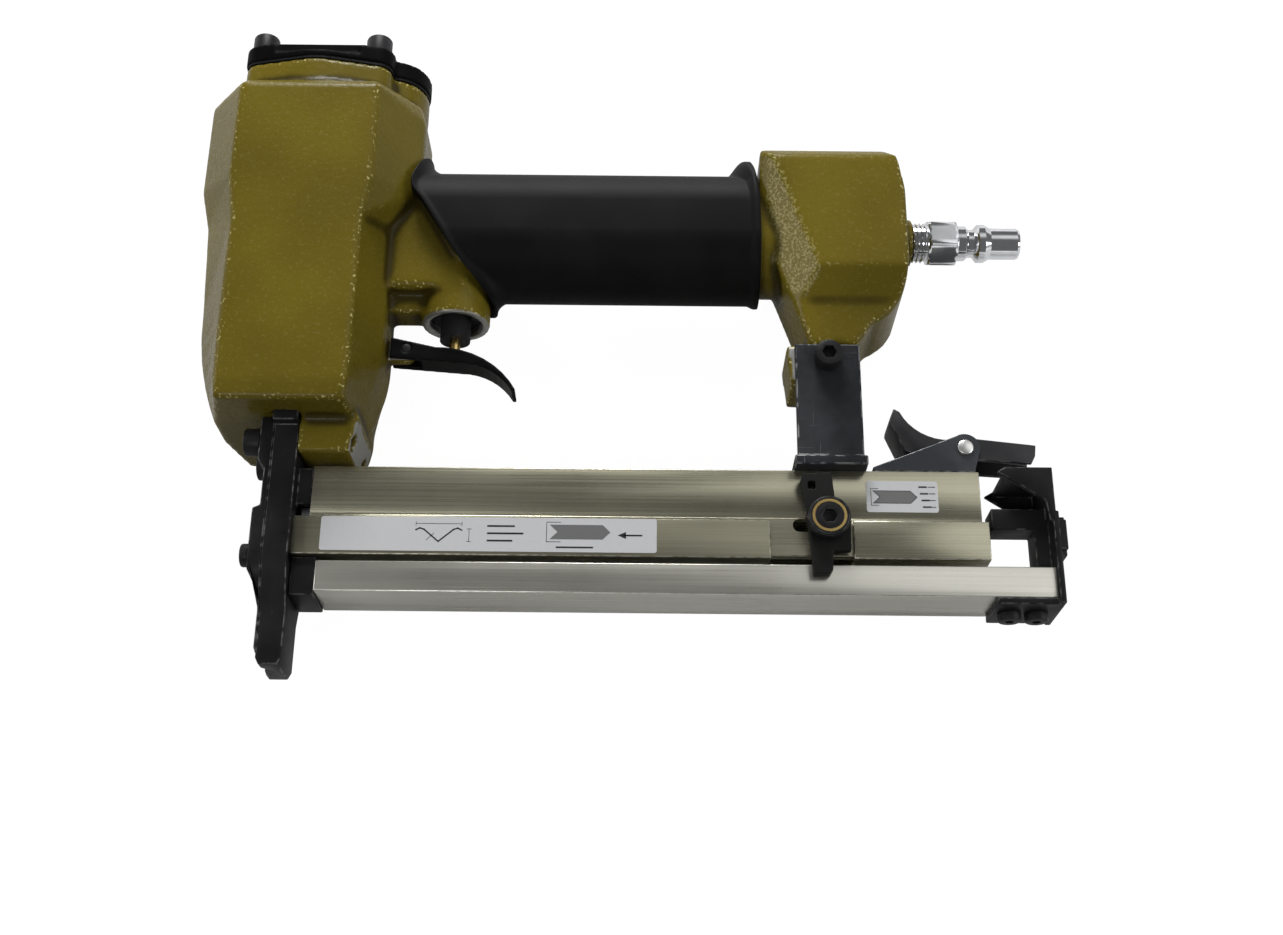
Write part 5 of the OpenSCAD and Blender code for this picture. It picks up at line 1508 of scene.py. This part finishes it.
@dataclass
class AirPlug:
    """Chromed air plug: thread, chamfered hexagon, locking bulge and nose with its air passage."""

    thread_r: float = 6.5
    thread_pitch: float = 1.34
    thread_depth: float = 0.75
    thread_step: float = 0.11
    thread_relief: float = 0.9
    hexagon: float = 14.0
    hexagon_l: float = 9.5
    nose_l: float = 20.6
    nose_r: float = 5.05
    bulge_r: float = 6.2
    bore_r: float = 3.0
    bore_depth: float = 16.0
    sides: int = 96

    def hexagon_radius(self, angle: float) -> float:
        """Radius of the hexagon's outline at an angle, with a flat at the top."""
        sixth = math.pi / 3
        return self.hexagon / 2 / math.cos((angle % sixth) - sixth / 2)

    def stations(self) -> list[tuple[float, Callable[[float], float]]]:
        """Places along the plug, each with a function that gives the radius at an angle."""
        low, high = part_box("air_plug")
        start = TOOL.of(low).x
        end = TOOL.of(high).x
        hex_end = end - self.nose_l
        hex_start = hex_end - self.hexagon_l
        places: list[tuple[float, Callable[[float], float]]] = []

        def round_at(x: float, radius: float) -> None:
            """Adds a round station."""
            places.append((x, lambda angle: radius))

        def thread_at(x: float) -> None:
            """Adds a station of the thread."""
            def radius(angle: float) -> float:
                """Radius of the thread's helix at an angle."""
                phase = ((x - start) / self.thread_pitch - angle / math.tau) % 1.0
                return self.thread_r - self.thread_depth * abs(2 * phase - 1)
            places.append((x, radius))

        def hexagon_at(x: float, limit: float) -> None:
            """Adds a station of the hexagon inside a chamfer's radius."""
            places.append((x, lambda angle: min(self.hexagon_radius(angle), limit)))

        round_at(start, self.thread_r - 1.2)
        thread_length = hex_start - start - self.thread_relief
        count = int(thread_length / self.thread_step)
        for i in range(count):
            thread_at(start + 0.1 + i * thread_length / count)
        round_at(hex_start - 0.7, self.thread_r - self.thread_depth)
        round_at(hex_start - 0.05, self.thread_r - self.thread_depth)
        corner = self.hexagon / math.sqrt(3)
        for x, limit in ((hex_start, self.hexagon / 2 - 0.3), (hex_start + 0.05, self.hexagon / 2),
                         (hex_start + 0.5, self.hexagon / 2 + 0.62), (hex_start + 1.0, corner),
                         (hex_end - 1.0, corner), (hex_end - 0.5, self.hexagon / 2 + 0.62),
                         (hex_end - 0.05, self.hexagon / 2), (hex_end, self.hexagon / 2 - 0.3)):
            hexagon_at(x, limit)
        collar, waist = self.nose_r + 0.6, self.nose_r - 0.5
        turned = [(0.02, collar - 0.2), (0.3, collar), (2.8, collar), (3.1, collar - 0.2), (3.9, waist), (5.6, waist),
                  (6.7, self.bulge_r - 0.25), (7.0, self.bulge_r), (9.0, self.bulge_r), (9.3, self.bulge_r - 0.15),
                  (11.0, self.nose_r), (self.nose_l - 1.0, self.nose_r), (self.nose_l - 0.3, self.nose_r - 0.35),
                  (self.nose_l, self.nose_r - 1.0), (self.nose_l, self.bore_r + 0.3),
                  (self.nose_l - 0.3, self.bore_r), (self.nose_l - self.bore_depth, self.bore_r)]
        for along, radius in turned:
            round_at(hex_end + along, radius)
        return places

    def build(self) -> None:
        """Makes the plug as rings of points joined along its length."""
        shape = bmesh.new()
        angles = [math.tau * i / self.sides for i in range(self.sides)]
        rings = []
        for x, radius in self.stations():
            rings.append([shape.verts.new(TOOL.at(x, HANDLE_Y + radius(a) * math.cos(a), radius(a) * math.sin(a)))
                          for a in angles])
        join_rings(shape, rings, closed=False)
        add_piece("chromed_plug", to_mesh(shape, "air_plug", 24.0), [CHROME], "air_plug")


@dataclass
class InnerWorks:
    """Cylinder, piston and driver inside the barrel."""

    def build(self) -> None:
        """Dresses the hidden pieces."""
        dress_nodes(TURNED, "cylinder_sleeve", "piston")
        dress_nodes(STEEL, "driver_blade", "driver_pin")
        dress_nodes(PLASTIC, "head_valve")
        dress_nodes(SEAL_RUBBER, "head_valve_seal", "sleeve_seals", "piston_ring", "piston_bumper")


# Studio


@dataclass(frozen=True)
class Lamp:
    """Square soft box.

    Args:
        name: name of the lamp.
        spot: its place in metres.
        side: its side in metres.
        power: its power in watts.
    """

    name: str
    spot: tuple[float, float, float]
    side: float
    power: float


@dataclass
class Studio:
    """Camera, lamps, world and floor."""

    target: tuple[float, float, float] = (8.1, -40.8, 28.0)
    distance: float = 509.0
    elevation: float = 67.0
    roll: float = 0.55
    lens: float = 46.44
    sensor: float = 36.0
    near_clip: float = 0.01
    far_clip: float = 50.0
    floor_side: float = 6.0
    floor_shadow: float = 0.12
    floor_dark: float = 0.06
    floor_white: float = 0.80
    floor_glow: float = 1.1
    surround: float = 0.13
    window: float = 0.95
    window_way: tuple[float, float, float] = (0.54, 0.36, 0.76)
    window_edge: tuple[float, float] = (0.88, 0.965)
    ceiling: tuple[float, float] = (0.05, 0.22)
    lamp_aim: tuple[float, float, float] = (0.0, 0.0, 0.02)
    lamps: tuple[Lamp, ...] = (
        Lamp("front_box", (-0.36, -0.52, 0.82), 0.30, 1.7),
        Lamp("key_box", (-0.10, 0.92, 0.44), 0.36, 8.4),
        Lamp("left_box", (-0.85, 0.15, 0.40), 0.40, 2.4),
        Lamp("right_box", (0.80, -0.20, 0.45), 0.40, 2.2),
    )

    def camera(self) -> None:
        """Sets the camera at the photograph's angle and distance."""
        data = bpy.data.cameras.new("camera")
        data.lens, data.sensor_width, data.sensor_fit = self.lens, self.sensor, "HORIZONTAL"
        data.clip_start, data.clip_end = self.near_clip, self.far_clip
        camera = bpy.data.objects.new("camera", data)
        bpy.context.scene.collection.objects.link(camera)
        tilt, roll = math.radians(self.elevation), math.radians(self.roll)
        back = Vector((0.0, -math.cos(tilt), math.sin(tilt)))
        level_up = Vector((0.0, math.sin(tilt), math.cos(tilt)))
        side = Vector((math.cos(roll), 0.0, 0.0)) + level_up * math.sin(roll)
        up = level_up * math.cos(roll) - Vector((math.sin(roll), 0.0, 0.0))
        spot = (Vector(self.target) + back * self.distance) * MM
        camera.matrix_world = Matrix((side, up, back)).transposed().to_4x4()
        camera.location = spot
        bpy.context.scene.camera = camera

    def hang(self, plan: Lamp) -> None:
        """Adds a soft box that faces the tool."""
        data = bpy.data.lights.new(plan.name, "AREA")
        data.shape, data.size, data.size_y, data.energy = "RECTANGLE", plan.side, plan.side, plan.power
        lamp = bpy.data.objects.new(plan.name, data)
        bpy.context.scene.collection.objects.link(lamp)
        lamp.location = plan.spot
        lamp.rotation_euler = (Vector(self.lamp_aim) - Vector(plan.spot)).to_track_quat("-Z", "Y").to_euler()

    @staticmethod
    def background_rays(nodes: Nodes, overhead: Any = 0.0) -> Value:
        """Tells which rays show the white background.

        Args:
            nodes: tree of the world or of the floor's material.
            overhead: how far a ray goes up to the ceiling, which reflections show instead.

        Returns:
            1 for rays from the camera, in reflections and through glass, and 0 for the light on the tool.
        """
        path = nodes.node("ShaderNodeLightPath")
        camera, glossy, through = (Value(nodes, path.outputs[name])
                                   for name in ("Is Camera Ray", "Is Glossy Ray", "Is Transmission Ray"))
        return camera.maths("ADD", camera, (glossy + through) * (1.0 - overhead), clamp=True)

    def world(self) -> None:
        """White backdrop all round, under a dim ceiling with one bright window that lights the tool."""
        world = bpy.data.worlds.new("studio")
        bpy.context.scene.world = world
        world.use_nodes = True
        world.node_tree.nodes.clear()
        nodes = Nodes(world.node_tree)
        way = nodes.node("ShaderNodeTexCoord").outputs["Generated"]
        height = Value(nodes, nodes.node("ShaderNodeSeparateXYZ", {}, {0: way}).outputs["Z"])
        seen = self.background_rays(nodes, height.rise(*self.ceiling))
        towards = tuple(Vector(self.window_way).normalized())
        dot = nodes.node("ShaderNodeVectorMath", {"operation": "DOT_PRODUCT"}, {0: way, 1: towards})
        nearness = Value(nodes, dot.outputs["Value"])
        room = nearness.rise(*self.window_edge) * self.window + self.surround
        strength = room * (1.0 - seen) + seen
        light = nodes.node("ShaderNodeBackground", {}, {"Color": (1.0, 1.0, 1.0), "Strength": strength})
        nodes.node("ShaderNodeOutputWorld", {}, {"Surface": light.outputs[0]})

    def floor(self) -> None:
        """White floor with a faint shadow, which reflections show as it is lit, and which throws little light."""
        shape = bmesh.new()
        bmesh.ops.create_grid(shape, x_segments=1, y_segments=1, size=self.floor_side / 2)
        floor = bpy.data.objects.new("floor", to_mesh(shape, "floor"))
        bpy.context.scene.collection.objects.link(floor)
        shader = Shader("floor_finish")
        seen = self.background_rays(shader)
        dark, white = (self.floor_dark,) * 3, (self.floor_white,) * 3
        shader.dress(Base_Color=shader.blend(seen, dark, white), Roughness=0.9, Specular_IOR_Level=0.1)
        glow = shader.node("ShaderNodeEmission", {}, {"Color": (1.0, 1.0, 1.0), "Strength": self.floor_glow})
        camera = Value(shader, shader.node("ShaderNodeLightPath").outputs["Is Camera Ray"])
        inputs = {0: camera * (1.0 - self.floor_shadow), 1: shader.surface.outputs[0], 2: glow.outputs[0]}
        mix = shader.node("ShaderNodeMixShader", {}, inputs)
        shader.feed(shader.output.inputs["Surface"], mix.outputs[0])
        floor.data.materials.append(shader.material)

    def build(self) -> None:
        """Sets up the whole studio."""
        bpy.context.scene.view_settings.view_transform = "Standard"
        self.camera()
        self.world()
        self.floor()
        for plan in self.lamps:
            self.hang(plan)


def main() -> None:
    """Builds the studio, then each sub-assembly."""
    logging.basicConfig(level=logging.INFO, format="%(name)s: %(message)s")
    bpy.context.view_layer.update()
    for part in (Studio(), Casting(), Grip(), Cap(), TriggerSet(), Nose(), Magazine(), Drawer(), Latch(), StopClip(),
                 AirPlug(), InnerWorks(), Fasteners(), Springs()):
        LOG.info("building %s", type(part).__name__)
        part.build()


if __name__ == "__main__":
    main()
